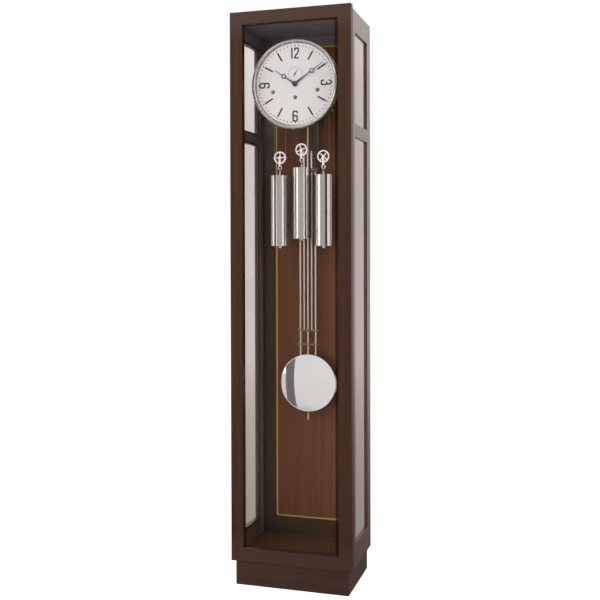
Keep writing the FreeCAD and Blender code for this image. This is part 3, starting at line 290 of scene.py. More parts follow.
# %% Lamps
def soft_lamp(name, spot, target, size, watts):
    lamp = bpy.data.objects.new(name, bpy.data.lights.new(name, "AREA"))
    scene.collection.objects.link(lamp)
    lamp.data.size = size
    lamp.data.energy = watts
    aim = (Vector(target) - Vector(spot)).to_track_quat("-Z", "Y").to_matrix().to_4x4()
    lamp.matrix_world = Matrix.Translation(spot) @ aim
    lamp.visible_camera = lamp.visible_glossy = lamp.visible_transmission = False
    return lamp


key = soft_lamp("key_lamp", spot=(-1.5, -3.2, 1.8), target=(0, 0, 1.1), size=3.0, watts=95)
fill = soft_lamp("fill_lamp", spot=(2.6, -1.8, 2.2), target=(0, 0, 1.0), size=1.6, watts=22)
print("lamps:", key.name, fill.name)

# %% [markdown]
# ## Walnut, stained and lacquered
# The case is veneered with walnut, stained dark and sprayed with satin lacquer. Three things make
# it read as wood: long growth bands, short dark pores along the grain, and a clear coat that goes
# bright at a low angle. A flat picture of wood would stretch over the edges, so the pattern is
# grown from two noises drawn out along the grain. Rails lie flat and stiles stand, so the pattern
# is turned where a frame's member changes, on the door along the mitres.

# %% Direction of the grain
door_half_width = 206 * mm
door_ends = (81.5 * mm, 1900 * mm)
window_middle = 3 * mm
window_half = 88 * mm


def grain_run(tree, layout):
    """Object coordinates, turned so that Z runs along the grain."""
    place = add_node(tree, "TexCoord").outputs["Object"]
    if layout == "upright":
        return place
    x, y, z = add_node(tree, "SeparateXYZ", None, {0: place}).outputs
    if layout == "level":
        return add_node(tree, "CombineXYZ", None, {"X": z, "Y": y, "Z": x}).outputs[0]
    if layout == "sides":
        turned = add_node(tree, "CombineXYZ", None, {"X": x, "Y": z, "Z": y})
        window = {"operation": "COMPARE", 1: window_middle, 2: window_half}
        rail = add_node(tree, "Math", window, {0: y})
    else:
        turned = add_node(tree, "CombineXYZ", None, {"X": z, "Y": y, "Z": x})
        off = add_node(tree, "Math", {"operation": "ABSOLUTE"}, {0: x})
        to_side = add_node(tree, "Math", {"operation": "SUBTRACT", 0: door_half_width}, {1: off})
        to_foot = add_node(tree, "Math", {"operation": "SUBTRACT", 1: door_ends[0]}, {0: z})
        to_head = add_node(tree, "Math", {"operation": "SUBTRACT", 0: door_ends[1]}, {1: z})
        to_end = add_node(tree, "Math", {"operation": "MINIMUM"}, {0: to_foot, 1: to_head})
        rail = add_node(tree, "Math", {"operation": "LESS_THAN"}, {0: to_end, 1: to_side})
    links = {0: rail, 4: place, 5: turned}
    return add_node(tree, "Mix", {"data_type": "VECTOR"}, links).outputs[1]


print("the door's mitres start", door_half_width, "m from its middle")

# %% [markdown]
# The tone isn't the same everywhere. The panel is darker outside its brass line, where a darker
# veneer frames it; towards the top that border is painted lighter and greyer, painted light and
# painted reflection. The inside of the case is painted lighter than its outside to offset its
# shade, and lighter and greyer still towards the top and along its rear stiles. The door's rails
# are painted greyer than its stiles, most at the top, as a painted sheen. A mask tells where the
# plain stain gives way to this second tone.

# %% Second tone, mostly painted light
# Where the door's rails take their painted sheen, measured from mid-door.
painted_sheen_rail_zone = {"From Min": 0.81, "From Max": 0.88, "To Min": 1.0, "To Max": 0.0}  # from mid-door
line_half_width = 134.5 * mm
line_middle = 996.5 * mm
line_half_height = 834.5 * mm
inside_half_width = 184.5 * mm
back_face = 127.5 * mm
# Over these heights the second tone turns to its high tone: painted light and painted reflection
# towards the top.
painted_grey_zone = {"From Min": 1.35, "From Max": 1.8}  # metres above the ground


def plain_field(tree, layout):
    """1 where the plain stain shows, 0 where the second tone does, and how far its painted high
    tone shows.
    """
    place = add_node(tree, "TexCoord").outputs["Object"]
    x, y, z = add_node(tree, "SeparateXYZ", None, {0: place}).outputs
    painted_grey_rise = add_node(tree, "MapRange", painted_grey_zone, {"Value": z})
    if layout == "upright":
        # Outside the brass line the border takes the second tone: a darker veneer, painted greyer
        # towards the top.
        within = {"operation": "COMPARE", 1: 0.0, 2: line_half_width}
        within = add_node(tree, "Math", within, {0: x})
        level = {"operation": "COMPARE", 1: line_middle, 2: line_half_height}
        level = add_node(tree, "Math", level, {0: z})
        field = add_node(tree, "Math", {"operation": "MULTIPLY"}, {0: within, 1: level})
        outside = add_node(tree, "Math", {"operation": "GREATER_THAN", 1: back_face}, {0: y})
        field = add_node(tree, "Math", {"operation": "MAXIMUM"}, {0: field, 1: outside})
    elif layout == "sides":
        # The inside of the sides takes the second tone, painted lighter to offset its shade.
        off = add_node(tree, "Math", {"operation": "ABSOLUTE"}, {0: x})
        field = {"operation": "GREATER_THAN", 1: inside_half_width}
        field = add_node(tree, "Math", field, {0: off})
        # The rear stiles take the high tone too: painted light and painted reflection.
        rear = {"operation": "GREATER_THAN", 1: window_middle + window_half}
        rear = add_node(tree, "Math", rear, {0: y})
        painted_grey_rise = add_node(tree, "Math", {"operation": "MAXIMUM"}, {0: painted_grey_rise, 1: rear})
    else:
        # The door's rails take the second tone as a painted sheen.
        off = add_node(tree, "Math", {"operation": "SUBTRACT", 1: sum(door_ends) / 2}, {0: z})
        off = add_node(tree, "Math", {"operation": "ABSOLUTE"}, {0: off})
        field = add_node(tree, "MapRange", painted_sheen_rail_zone, {"Value": off})
    return field, painted_grey_rise


print("the brass line runs", line_half_width, "m from the middle")

# %% [markdown]
# Bands, pores and stain come together in one finish, and the pores also roughen the lacquer. Real
# pores are about 0.3 mm wide. They are drawn near 2 mm so that they show at this distance.

# %% Walnut
band_size = (16, 16, 420)
pore_size = (2.2, 2.2, 45)


def walnut(name, dark, light, pore, layout, roughness, lacquer, tone_and_painted_light=None):
    """lacquer is how far the coat mirrors; the last is a second tone, mostly painted light."""
    material = bpy.data.materials.new(name)
    tree = blank_tree(material)
    run = grain_run(tree, layout)
    bands = patches(tree, band_size, 4.0, run, distortion=0.6)
    pores = patches(tree, pore_size, 2.0, run)
    tone = add_node(tree, "MapRange", {"From Min": 0.3, "From Max": 0.7}, {"Value": bands})
    colour = {"data_type": "RGBA", 6: linear(dark), 7: linear(light)}
    colour = add_node(tree, "Mix", colour, {0: tone})
    deep = {"From Min": 0.56, "From Max": 0.74, "To Max": 0.5}
    deep = add_node(tree, "MapRange", deep, {"Value": pores})
    links = {0: deep, 6: colour.outputs[2]}
    colour = add_node(tree, "Mix", {"data_type": "RGBA", 7: linear(pore)}, links)
    # The second tone is mostly painted light: painted shade offset, painted reflection and painted
    # sheen.
    if tone_and_painted_light:
        low, high, share = tone_and_painted_light
        field, painted_grey_rise = plain_field(tree, layout)
        stain_and_painted_light = {"data_type": "RGBA", 6: linear(low), 7: linear(high)}
        stain_and_painted_light = add_node(tree, "Mix", stain_and_painted_light, {0: painted_grey_rise})
        kept = add_node(tree, "MapRange", {"To Min": 1 - share}, {"Value": field})
        links = {0: kept, 6: stain_and_painted_light.outputs[2], 7: colour.outputs[2]}
        colour = add_node(tree, "Mix", {"data_type": "RGBA"}, links)
    gloss = {"To Min": roughness - 0.04, "To Max": roughness + 0.06}
    gloss = add_node(tree, "MapRange", gloss, {"Value": pores})
    relief = {"Strength": 0.06, "Distance": 0.1 * mm, "invert": True}
    relief = add_node(tree, "Bump", relief, {"Height": pores})
    coat = {"Coat Weight": lacquer / 2, "Coat Roughness": 0.12}
    settings = {"IOR": 1.5, "Specular IOR Level": lacquer, **coat}
    links = {"Base Color": colour.outputs[2], "Roughness": gloss, "Normal": relief}
    shader = add_node(tree, "BsdfPrincipled", settings, links)
    add_node(tree, "OutputMaterial", None, {"Surface": shader})
    return material


print("bands", band_size, "mm, pores", pore_size, "mm")

# %% [markdown]
# Each part of the case has its own tones: dark, light and pore. The door, the sides and the back
# panel also have a second tone, mostly painted light: its low tone, its high tone and its share.
# The sides, which are seen at a low angle, shine most. The floor and the back panel inside the case
# are paler.

# %% Walnut finishes
# Second tones: the rails are painted greyer as a painted sheen; the inside of the sides is painted
# lighter to offset its shade and greyer as a painted reflection; the border is a darker veneer,
# painted greyer at the top as a painted reflection.
door_rails_painted_sheen = ("#413029", "#453532", 0.75)
side_inside_painted_light = ("#684D40", "#857B80", 0.85)
back_border_and_painted_reflection = ("#453122", "#7D7379", 1.0)
door_tones = ("#321E13", "#3F2819", "#23150E")
side_tones = ("#442A20", "#543629", "#2C1B14")
board_tones = ("#36231C", "#422C24", "#241611")
floor_tones = ("#583B28", "#674631", "#442C1D")
# Pale grey tones for the sheet under the top: painted light and painted reflection.
painted_reflection_tones = ("#8D858C", "#9B929A", "#756D74")
back_tones = ("#65422D", "#744D36", "#4C3122")
door_walnut = walnut("door_stained_walnut", *door_tones, "door", 0.36, 0.09, door_rails_painted_sheen)
side_walnut = walnut("side_stained_walnut", *side_tones, "sides", 0.3, 0.41, side_inside_painted_light)
board_walnut = walnut("board_stained_walnut", *board_tones, "level", 0.36, 0.2)
floor_walnut = walnut("floor_stained_walnut", *floor_tones, "level", 0.4, 0.12)
painted_reflection_walnut = walnut("painted_reflection_walnut_sheet", *painted_reflection_tones, "level", 0.5, 0.1)
back_walnut = walnut("back_panel_walnut", *back_tones, "upright", 0.45, 0.1, back_border_and_painted_reflection)
woods = (door_walnut, side_walnut, board_walnut, floor_walnut, painted_reflection_walnut, back_walnut)
print("walnut finishes:", [m.name for m in woods])

# %% [markdown]
# ## Glass
# Clear float glass has an index of about 1.5. Its tint is next to nothing in the door and a warm
# trace in the side panes. A path tracer can't easily find lamps through real glass, so for shadow
# rays alone the pane is left open, and the inside of the case is lit. The door's glass carries an
# anti-reflection coat: in the photograph it shows almost no reflection in front of the dial, while
# the side panes shine at their low angle and carry a film of dust. The bevel down the right edge of
# the door looks into the unlit corner of the case, which makes it a dark band; so shallow a bevel
# gets that from a tint.

# %% Float glass
bevel_start = 148.5 * mm
wave_size = (180, 180, 180)


def float_glass(name, tint, shine, dust, bevel_tint=None):
    """shine is how far the surface mirrors, dust the share of light that a film scatters."""
    material = bpy.data.materials.new(name)
    tree = blank_tree(material)
    wave = patches(tree, wave_size, 1.0)
    relief = add_node(tree, "Bump", {"Strength": 0.004, "Distance": 0.05 * mm}, {"Height": wave})
    settings = {
        "Base Color": linear(tint),
        "Roughness": 0.0,
        "IOR": 1.5,
        "Transmission Weight": 1.0 - dust,
        "Specular Tint": [shine, shine, shine, 1.0],
    }
    links = {"Normal": relief}
    if bevel_tint:
        place = add_node(tree, "TexCoord").outputs["Object"]
        x = add_node(tree, "SeparateXYZ", None, {0: place}).outputs["X"]
        bevel = add_node(tree, "Math", {"operation": "GREATER_THAN", 1: bevel_start}, {0: x})
        tints = {"data_type": "RGBA", 6: linear(tint), 7: linear(bevel_tint)}
        links["Base Color"] = add_node(tree, "Mix", tints, {0: bevel}).outputs[2]
    pane = add_node(tree, "BsdfPrincipled", settings, links)
    open_way = add_node(tree, "BsdfTransparent", {"Color": linear(tint)})
    shadow = add_node(tree, "LightPath").outputs["Is Shadow Ray"]
    both = add_node(tree, "MixShader", None, {0: shadow, 1: pane, 2: open_way})
    add_node(tree, "OutputMaterial", None, {"Surface": both})
    return material


side_glass = float_glass("clear_float_glass", "#F3EFEC", shine=1.0, dust=0.03)
door_glass = float_glass(
    "coated_float_glass", "#FCFCFB", shine=0.06, dust=0.0, bevel_tint="#A2988C"
)
print("glass:", side_glass.name, door_glass.name)

# %% [markdown]
# ## Metals
# Each metal is a colour, a roughness and the trace of how it was worked: chrome is flawless but for
# a slow waviness, the bezel is brushed in one direction, wheels are stamped brass with a fine grit.
# One noise at the size of that trace varies the tone and the roughness together.


# %% Worked surfaces
def surface(
    name, dark, light, roughness, spread, trace_mm, bump=0.0, metallic=1.0, specular=0.5, detail=3.0
):
    """trace_mm is the size of the marks along X, Y and Z, spread their pull on the roughness."""
    material = bpy.data.materials.new(name)
    tree = blank_tree(material)
    marks = patches(tree, trace_mm, detail)
    tone = {"data_type": "RGBA", 6: linear(dark), 7: linear(light)}
    tone = add_node(tree, "Mix", tone, {0: marks})
    gloss = {"To Min": roughness - spread, "To Max": roughness + spread}
    gloss = add_node(tree, "MapRange", gloss, {"Value": marks})
    links = {"Base Color": tone.outputs[2], "Roughness": gloss}
    if bump:
        relief = {"Strength": bump, "Distance": 0.05 * mm}
        links["Normal"] = add_node(tree, "Bump", relief, {"Height": marks})
    settings = {"Metallic": metallic, "Specular IOR Level": specular}
    shader = add_node(tree, "BsdfPrincipled", settings, links)
    add_node(tree, "OutputMaterial", None, {"Surface": shader})
    return material


print("surface recipe ready")

# %% [markdown]
# Plated pieces mirror almost cleanly, drawn and brushed ones are duller, and cast ones are rough.
# The catch is blackened and the bracket is painted.

# %% Metals
plain = (3, 3, 3)
slow = (60, 60, 60)

# Warm mirror plating on pulleys and stirrups.
bright_nickel = surface("bright_nickel_plate", "#F1E6DF", "#F7EDE7", 0.04, 0.01, slow)
# Hazy chrome of the bob, still under its wax.
bob_chrome = surface("waxed_chrome_plate", "#DFDEDF", "#E4E3E4", 0.03, 0.01, slow, metallic=0.72)
# Drawn and polished tube of the weights.
weight_steel = surface(
    "polished_steel", "#A19E9C", "#A8A4A2", 0.015, 0.004, (40, 40, 200), metallic=0.86
)
# Level brush marks on the bezel.
bezel_steel = surface("brushed_steel", "#9E9997", "#BCB6B3", 0.26, 0.06, (12, 12, 0.8), 0.05)
# Drawn rods with marks along them.
nickel = surface("satin_nickel", "#BBB2AA", "#C9C1B9", 0.3, 0.04, (2, 2, 200))
# Cast bars gone brown.
bronze = surface("dulled_brass", "#6E5E4C", "#8B7963", 0.38, 0.08, plain, 0.04)
# Rolled and polished sheet.
brass = surface("polished_brass", "#B98F4C", "#D2AC6C", 0.22, 0.06, (4, 4, 4))
# A flat inlay under the case's lacquer.
line_brass = surface("lacquered_brass", "#C09A54", "#CFAA66", 0.5, 0.06, (3, 3, 12), metallic=0.25)
# Fine grinding marks.
steel = surface("ground_steel", "#9A9A9A", "#BDBCBA", 0.3, 0.08, (1.5, 1.5, 8), 0.03)
# The hands, nearly black.
blued = surface("blued_steel", "#121214", "#1A1A1D", 0.4, 0.06, plain)
# The nut on the hands, greyer than they are.
nut_steel = surface("grey_blued_steel", "#3C3A3C", "#484648", 0.5, 0.05, plain, metallic=0.3)
# Oil-black steel of the catch.
blackened = surface("blackened_steel", "#201F20", "#2E2C2C", 0.45, 0.08, (2, 2, 2), 0.06)
# Enamel on the bracket, brown like the wood behind it.
bracket_paint = surface(
    "brown_enamelled_steel", "#46332A", "#513D32", 0.5, 0.05, plain, metallic=0.1
)
# Dark, greenish rods.
rod_steel = surface("tempered_rod_steel", "#3C4040", "#565B59", 0.32, 0.07, (1.5, 1.5, 25))
# Sand-cast grain.
cast_iron = surface("cast_iron", "#2E2D2C", "#454341", 0.55, 0.08, (1.4, 1.4, 1.4), 0.25)
# Oiled strands of the cables.
cable_steel = surface("laid_steel_wire", "#857A6C", "#A39786", 0.3, 0.06, (0.6, 0.6, 0.6))
# A warm turned nut.
copper_nut = surface("copper_tinted_steel", "#A08A80", "#BBA69B", 0.3, 0.05, plain)
print("finishes so far:", len(bpy.data.materials))

# %% [markdown]
# ## Silvered dial and its ink
# The dial is brass, silvered and lacquered: nearly white, matt, with a pearly grain a few
# millimetres wide. It is no mirror, so only part of it is metallic. The ink is dull black, and
# the marks of the seconds ring are a greyer ink.

# %% Dial finishes
ink_body = {
    "roughness": 0.51,
    "spread": 0.09,
    "trace_mm": (1.5, 1.5, 1.5),
    "metallic": 0.0,
    "detail": 2.0,
}
dial_silver = surface(
    "silvered_dial", "#E7E2E4", "#EEEAEB", 0.53, 0.05, plain, metallic=0.1, specular=0.3
)
black_ink = surface("black_dial_ink", "#171618", "#0F0E10", **ink_body)
grey_ink = surface("grey_dial_ink", "#6A666A", "#555155", **ink_body)
print("dial finishes:", dial_silver.name, black_ink.name, grey_ink.name)

# %% [markdown]
# ## Finishes on the solids
# The solids have the right shapes, so each keeps its mesh and only takes a finish in its slot.

# %% Dress the solids
finishes = {
    door_walnut: "door_frame door_glazing_beads",
    side_walnut: "left_side_frame right_side_frame side_glazing_beads",
    board_walnut: "plinth_boards top_board",
    floor_walnut: "floor_board",
    back_walnut: "back_panel",
    side_glass: "side_panes",
    door_glass: "door_glass",
    line_brass: "brass_inlay",
    brass: "front_plate back_plate cannon_pinion centre_wheel escape_wheel going_great_wheel"
    " hour_wheel minute_wheel third_wheel left_drum middle_drum right_drum"
    " hinge_case_leaves_and_pins hinge_door_leaves pendulum_hook suspension_cock",
    weight_steel: "left_weight middle_weight right_weight",
    bright_nickel: "left_stirrup middle_stirrup right_stirrup"
    " left_pulley middle_pulley right_pulley",
    bob_chrome: "pendulum_bob",
    bezel_steel: "dial_bezel",
    nickel: "grid_steel_rods grid_brass_rods",
    bronze: "grid_bridges",
    copper_nut: "rating_nut",
    steel: "bracket_screws movement_pillars suspension_spring pallets_and_crutch chime_hammers"
    " catch_strike_plate",
    blued: "hour_hand minute_hand seconds_hand",
    blackened: "catch_magnet",
    bracket_paint: "movement_bracket",
    cast_iron: "chime_block",
    rod_steel: "chime_rods",
    cable_steel: "left_cable middle_cable right_cable",
    dial_silver: "dial_plate",
}
for material, names in finishes.items():
    for name in names.split():
        nodes[name].material_slots[0].material = material
undressed = set(nodes) - set(" ".join(finishes.values()).split())
print("solids dressed:", len(nodes) - len(undressed), "left:", sorted(undressed))

# %% [markdown]
# ## Ways of making small pieces
# Small fittings are mostly turned, so one helper works as a lathe: a single vertex is extruded
# along half an outline and spun round the Z axis.


# %% Lathe
def pick(*pieces):
    """Selects these pieces alone and makes the first one active."""
    bpy.ops.object.select_all(action="DESELECT")
    for piece in pieces:
        piece.select_set(True)
    bpy.context.view_layer.objects.active = pieces[0]


def start_edit(spot):
    """One lone vertex in edit mode, where an outline begins."""
    bpy.ops.object.select_all(action="DESELECT")
    bpy.ops.mesh.primitive_plane_add(size=mm, location=(0, 0, 0))
    bpy.ops.object.mode_set(mode="EDIT")
    bpy.ops.mesh.merge(type="CENTER")
    bpy.ops.transform.translate(value=[v * mm for v in spot])
    return bpy.context.object


def draw_on(corners):
    """Extrudes the lone vertex from corner to corner, in millimetres."""
    for here, there in zip(corners, corners[1:]):
        step = [(b - a) * mm for a, b in zip(here, there)]
        bpy.ops.mesh.extrude_region_move(TRANSFORM_OT_translate={"value": step})


def turned_piece(name, outline, steps=32):
    """Turns an outline of (radius, height) points in millimetres round Z."""
    corners = [(r, 0, h) for r, h in outline]
    piece = start_edit(corners[0])
    draw_on(corners)
    bpy.ops.mesh.select_all(action="SELECT")
    bpy.ops.mesh.spin(steps=steps, angle=2 * math.pi, center=(0, 0, 0), axis=(0, 0, 1))
    bpy.ops.mesh.select_all(action="SELECT")
    bpy.ops.mesh.remove_doubles(threshold=0.001 * mm)
    bpy.ops.mesh.normals_make_consistent(inside=False)
    bpy.ops.object.mode_set(mode="OBJECT")
    bpy.ops.object.shade_smooth_by_angle(angle=math.radians(35))
    piece.name = name
    return piece


print("lathe ready")

# %% [markdown]
# Others make a block of a given size and ease its edges, or lay copies of a finished piece, each
# with its own mesh, and join them.


# %% Blocks and copies
def block(size, middle):
    """A box of this size about this middle, both in millimetres."""
    bpy.ops.object.select_all(action="DESELECT")
    bpy.ops.mesh.primitive_cube_add(size=1, location=[v * mm for v in middle])
    piece = bpy.context.object
    piece.scale = [v * mm for v in size]
    bpy.ops.object.transform_apply(location=True, rotation=True, scale=True)
    return piece


def ease_edges(width):
    """A chamfer of this width in millimetres on every edge of the active piece."""
    bpy.ops.object.mode_set(mode="EDIT")
    bpy.ops.mesh.select_all(action="SELECT")
    bpy.ops.mesh.bevel(offset=width * mm, segments=1)
    bpy.ops.object.mode_set(mode="OBJECT")


def settle(piece, spot=(0, 0, 0), turn=(0, 0, 0)):
    """Turns a piece by degrees, moves it by millimetres and puts that into its mesh."""
    pick(piece)
    piece.rotation_euler = [math.radians(a) for a in turn]
    piece.location = [v * mm for v in spot]
    bpy.ops.object.transform_apply(location=True, rotation=True, scale=True)
    return piece


def join(name, pieces):
    pick(*pieces)
    bpy.ops.object.join()
    pieces[0].name = name
    return pieces[0]


def copies(name, master, places):
    """Joined copies of a master at (spot, turn) places; the master itself is removed."""
    made = []
    for spot, turn in places:
        copy = master.copy()
        copy.data = master.data.copy()
        scene.collection.objects.link(copy)
        made.append(settle(copy, spot, turn))
    bpy.data.objects.remove(master)
    return join(name, made)


print("blocks and copies ready")

# %% [markdown]
# A last one hands the piece over: its finish and the body that it moves with. Turned pieces come
# off the lathe looking up, so two turns set them to the front or back.

# %% Hand-over
to_front = (90, 0, 0)
to_back = (-90, 0, 0)


def hand_over(piece, material, body):
    piece.data.materials.clear()
    piece.data.materials.append(material)
    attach(piece, body)
    print(piece.name, "faces:", len(piece.data.polygons), "rides on", body)


print("turns:", to_front, to_back)

# %% [markdown]
# ## Painted light under the top
# Through the door the underside of the top board shows paler and greyer than the rest of the case.
# A thin sheet under it carries that as painted light and painted reflection on the shaded top of
# the case. A block at the size of the sheet, with its edges eased, is enough, because only its
# underside is ever seen.

# %% Painted sheet under the top
# A pale grey sheet: painted light and painted reflection under the top.
painted_ceiling_sheet = block(size=(366, 238, 0.8), middle=(0, 7, 1867.5))
painted_ceiling_sheet.name = "ceiling_painted_sheet"
ease_edges(0.2)
hand_over(painted_ceiling_sheet, painted_reflection_walnut, "case")

# %% [markdown]
# ## Hour batons
# Eight hours are marked by slim black batons that widen a little outwards. One is made from a
# block at its size, with its outer end widened in edit mode and its edges eased, and it is copied
# round the dial.

# %% Hour batons
dial_x, dial_y, dial_z = 0.0, -74.0, 1665.0
ink_height = 0.3
baton_hours = (1, 2, 4, 5, 7, 8, 10, 11)
baton_radius = 105.5


def round_dial(degrees, radius):
    """Place on the dial's face, clockwise from twelve, and the turn that goes with it."""
    a = math.radians(degrees)
    return (dial_x + radius * math.sin(a), dial_y, dial_z + radius * math.cos(a)), (0, degrees, 0)


def bar_on_dial(length, inner_width, outer_width):
    bar = block((inner_width, ink_height, length), (0, -ink_height / 2, 0))
    for vertex in bar.data.vertices:
        vertex.select = vertex.co.z > 0
    for part in list(bar.data.edges) + list(bar.data.polygons):
        part.select = all(bar.data.vertices[i].select for i in part.vertices)
    bpy.ops.object.mode_set(mode="EDIT")
    bpy.ops.transform.resize(value=(outer_width / inner_width, 1, 1))
    bpy.ops.object.mode_set(mode="OBJECT")
    ease_edges(0.08)
    return bar


baton = bar_on_dial(length=32, inner_width=4.8, outer_width=5.6)
batons = copies("hour_batons", baton, [round_dial(30 * h, baton_radius) for h in baton_hours])
hand_over(batons, black_ink, "case")

# %% [markdown]
# ## The four numerals
# Twelve, three, six and nine are drawn with a narrow squared pen stroke. The path of the pen is
# extruded from corner to corner and raised off the dial as a ribbon, the ribbon's folds are rounded
# with a bevel, and Solidify gives it the width of the pen.

# %% Pen stroke
pen_width = 4.8


def pen_stroke(corners, rounding):
    corners = [(u, 0, v) for u, v in corners]
    piece = start_edit(corners[0])
    draw_on(corners)
    bpy.ops.mesh.select_all(action="SELECT")
    bpy.ops.mesh.extrude_region_move(TRANSFORM_OT_translate={"value": (0, -ink_height * mm, 0)})
    bpy.ops.mesh.select_mode(type="EDGE")
    bpy.ops.mesh.select_all(action="DESELECT")
    bpy.ops.object.mode_set(mode="OBJECT")
    beside = [key for face in piece.data.polygons for key in face.edge_keys]
    for edge in piece.data.edges:
        edge.select = beside.count(edge.key) == 2
    bpy.ops.object.mode_set(mode="EDIT")
    bpy.ops.mesh.bevel(offset=rounding * mm, segments=4, clamp_overlap=True)
    bpy.ops.mesh.select_mode(type="VERT")
    bpy.ops.object.mode_set(mode="OBJECT")
    wall = piece.modifiers.new("pen_width", "SOLIDIFY")
    wall.thickness = pen_width * mm
    wall.offset = 0
    wall.use_even_offset = True
    bpy.ops.object.modifier_apply(modifier=wall.name)
    return piece


print("pen width:", pen_width, "mm")

# %% [markdown]
# Each numeral is a path of corners about its own middle, with the radius of its bends. Three and
# nine lie on their sides with their heads outwards.

# %% Numerals
one = [(-13.4, 13.4), (-10.6, 16.2), (-10.6, -18.0)]
two = [(-0.4, 8.0), (-0.4, 16.1), (11.4, 16.1), (11.4, 3.5)]
two += [(-0.4, -11.5), (-0.4, -16.1), (13.0, -16.1)]
three_head = [(-6.4, 8.5), (-6.4, 16.1), (6.6, 16.1), (6.6, 1.5), (-1.5, 1.5)]
three_foot = [(-1.5, 1.5), (7.0, 1.5), (7.0, -16.1), (-7.0, -16.1), (-7.0, -7.5)]
six = [(7.0, 9.0), (7.0, 16.1), (-7.0, 16.1), (-7.0, -16.1), (7.0, -16.1), (7.0, 1.0), (-7.0, 1.0)]
nine = [(-u, -v) for u, v in six]
twelve_at, six_at = round_dial(0, 102)[0], round_dial(180, 106.5)[0]
three_at, nine_at = round_dial(90, 107)[0], round_dial(-90, 107)[0]
strokes = [
    (one, 0.6, twelve_at, 0),
    (two, 4.2, twelve_at, 0),
    (three_head, 5.5, three_at, 90),
    (three_foot, 2.8, three_at, 90),
    (six, 3.6, six_at, 0),
    (nine, 3.6, nine_at, -90),
]
drawn = [settle(pen_stroke(path, bend), spot, (0, turn, 0)) for path, bend, spot, turn in strokes]
hand_over(join("dial_numerals", drawn), black_ink, "case")

# %% [markdown]
# ## Minute dots and the seconds ring
# Sixty dots run inside the bezel, larger at the hours. Above the middle a small ring of fine grey
# strokes counts the seconds. Both repeat one tiny model, so each has few faces.

# %% Minute dots
minute_dot, minute_circle = 1.9, 126.5
hour_dot, hour_circle = 2.4, 127


def dot_on_dial(radius):
    outline = [(radius, 0), (radius, 0.15), (radius * 0.85, ink_height), (0, ink_height)]
    return settle(turned_piece("dot", outline, 10), turn=to_front)


minutes = [round_dial(6 * i, minute_circle) for i in range(60) if i % 5]
hours = [round_dial(30 * i, hour_circle) for i in range(12)]
hand_over(copies("minute_dots", dot_on_dial(minute_dot), minutes), black_ink, "case")
hand_over(copies("hour_dots", dot_on_dial(hour_dot), hours), black_ink, "case")

# %% Seconds ring
seconds_rise = 34.0
seconds_radius = 23.0
ring_places = []
for i in range(60):
    (x, y, z), turn = round_dial(6 * i, seconds_radius)
    ring_places.append(((x, y, z + seconds_rise), turn))
fives = ring_places[::5]
ones = [place for i, place in enumerate(ring_places) if i % 5]
long_marks = copies("seconds_fives", bar_on_dial(4.6, 0.9, 0.9), fives)
short_marks = copies("seconds_ones", bar_on_dial(2.0, 0.45, 0.45), ones)
hand_over(join("seconds_ring", [long_marks, short_marks]), grey_ink, "case")

# %% [markdown]
# ## Winding bushes
# Each winding arbor comes through the dial in a black bush. Its outline is turned with a rounded
# lip, open in the middle so that the arbor turns freely inside. The arbor's own end is capped with
# a black collar, and only the small square for the winding key is bright. Both turn with the drum.

# %% Winding bushes
bush_lip = [(3.6, 0.5), (4.0, 0.8), (5.6, 0.8), (6.4, 0.4), (6.4, 0), (5.4, 0)]
bush_outline = [(3.6, -3.2), *bush_lip, (5.4, -3.2), (3.6, -3.2)]
winding_spots = {
    "left": (-77, dial_y, 1642),
    "middle": (0, dial_y, 1621),
    "right": (77, dial_y, 1642),
}
bush_places = [(spot, to_front) for spot in winding_spots.values()]
bushes = copies("winding_bushes", turned_piece("bush", bush_outline), bush_places)
hand_over(bushes, black_ink, "case")

# %% Winding ends
collar_outline = [(3.2, -0.8), (3.2, 2.1), (2.9, 2.4), (0, 2.4)]
for name, spot in winding_spots.items():
    collar = turned_piece(name + "_winding_collar", collar_outline, 24)
    hand_over(settle(collar, spot, to_front), black_ink, name + "_winder")
    square = block(size=(3.8, 3.8, 2.4), middle=(0, 0, 3.4))
    square.name = name + "_winding_square"
    edge = square.modifiers.new("edge", "BEVEL")
    edge.width = 0.3 * mm
    bpy.ops.object.modifier_apply(modifier=edge.name)
    hand_over(settle(square, spot, to_front), bright_nickel, name + "_winder")

# %% [markdown]
# ## Cap on the hands
# A broad domed nut holds the minute hand on its arbor. It is dark grey, a little paler than the
# hands, and the end of the arbor shows in its middle in the same grey. The seconds hand has a small
# black collet.

# %% Hand cap
cap_seat = (dial_x, -81.4, dial_z)
cap_outline = [(1.8, 0.0), (7.4, 0.0), (7.8, 0.4), (6.8, 1.0), (3.4, 1.6), (1.8, 1.6), (1.8, 0.0)]
cap = settle(turned_piece("minute_hand_nut", cap_outline), cap_seat, to_front)
hand_over(cap, nut_steel, "centre_arbor")
tip_outline = [(1.7, 0.0), (1.7, 1.6), (1.3, 1.9), (0.0, 2.0)]
tip = settle(turned_piece("centre_arbor_tip", tip_outline, 20), cap_seat, to_front)
hand_over(tip, nut_steel, "centre_arbor")

# %% Seconds collet
collet_seat = (dial_x, -75.8, dial_z + seconds_rise)
collet_outline = [(0.0, 0.0), (2.8, 0.0), (2.8, 0.5), (2.4, 0.8), (0.0, 0.8)]
collet = settle(turned_piece("seconds_collet", collet_outline, 24), collet_seat, to_front)
hand_over(collet, blued, "escape_arbor")

# %% [markdown]
# ## The three cables
# Each weight hangs in a loop of steel cable: from a pillar down, under the pulley, up to the drum
# and fifteen turns round it. Six wires are laid round each other, so the section has six lobes.

# %% Section of a cable
lobe_reach = (0.47, 0.6)  # valley and crest of a wire, from the middle of the cable

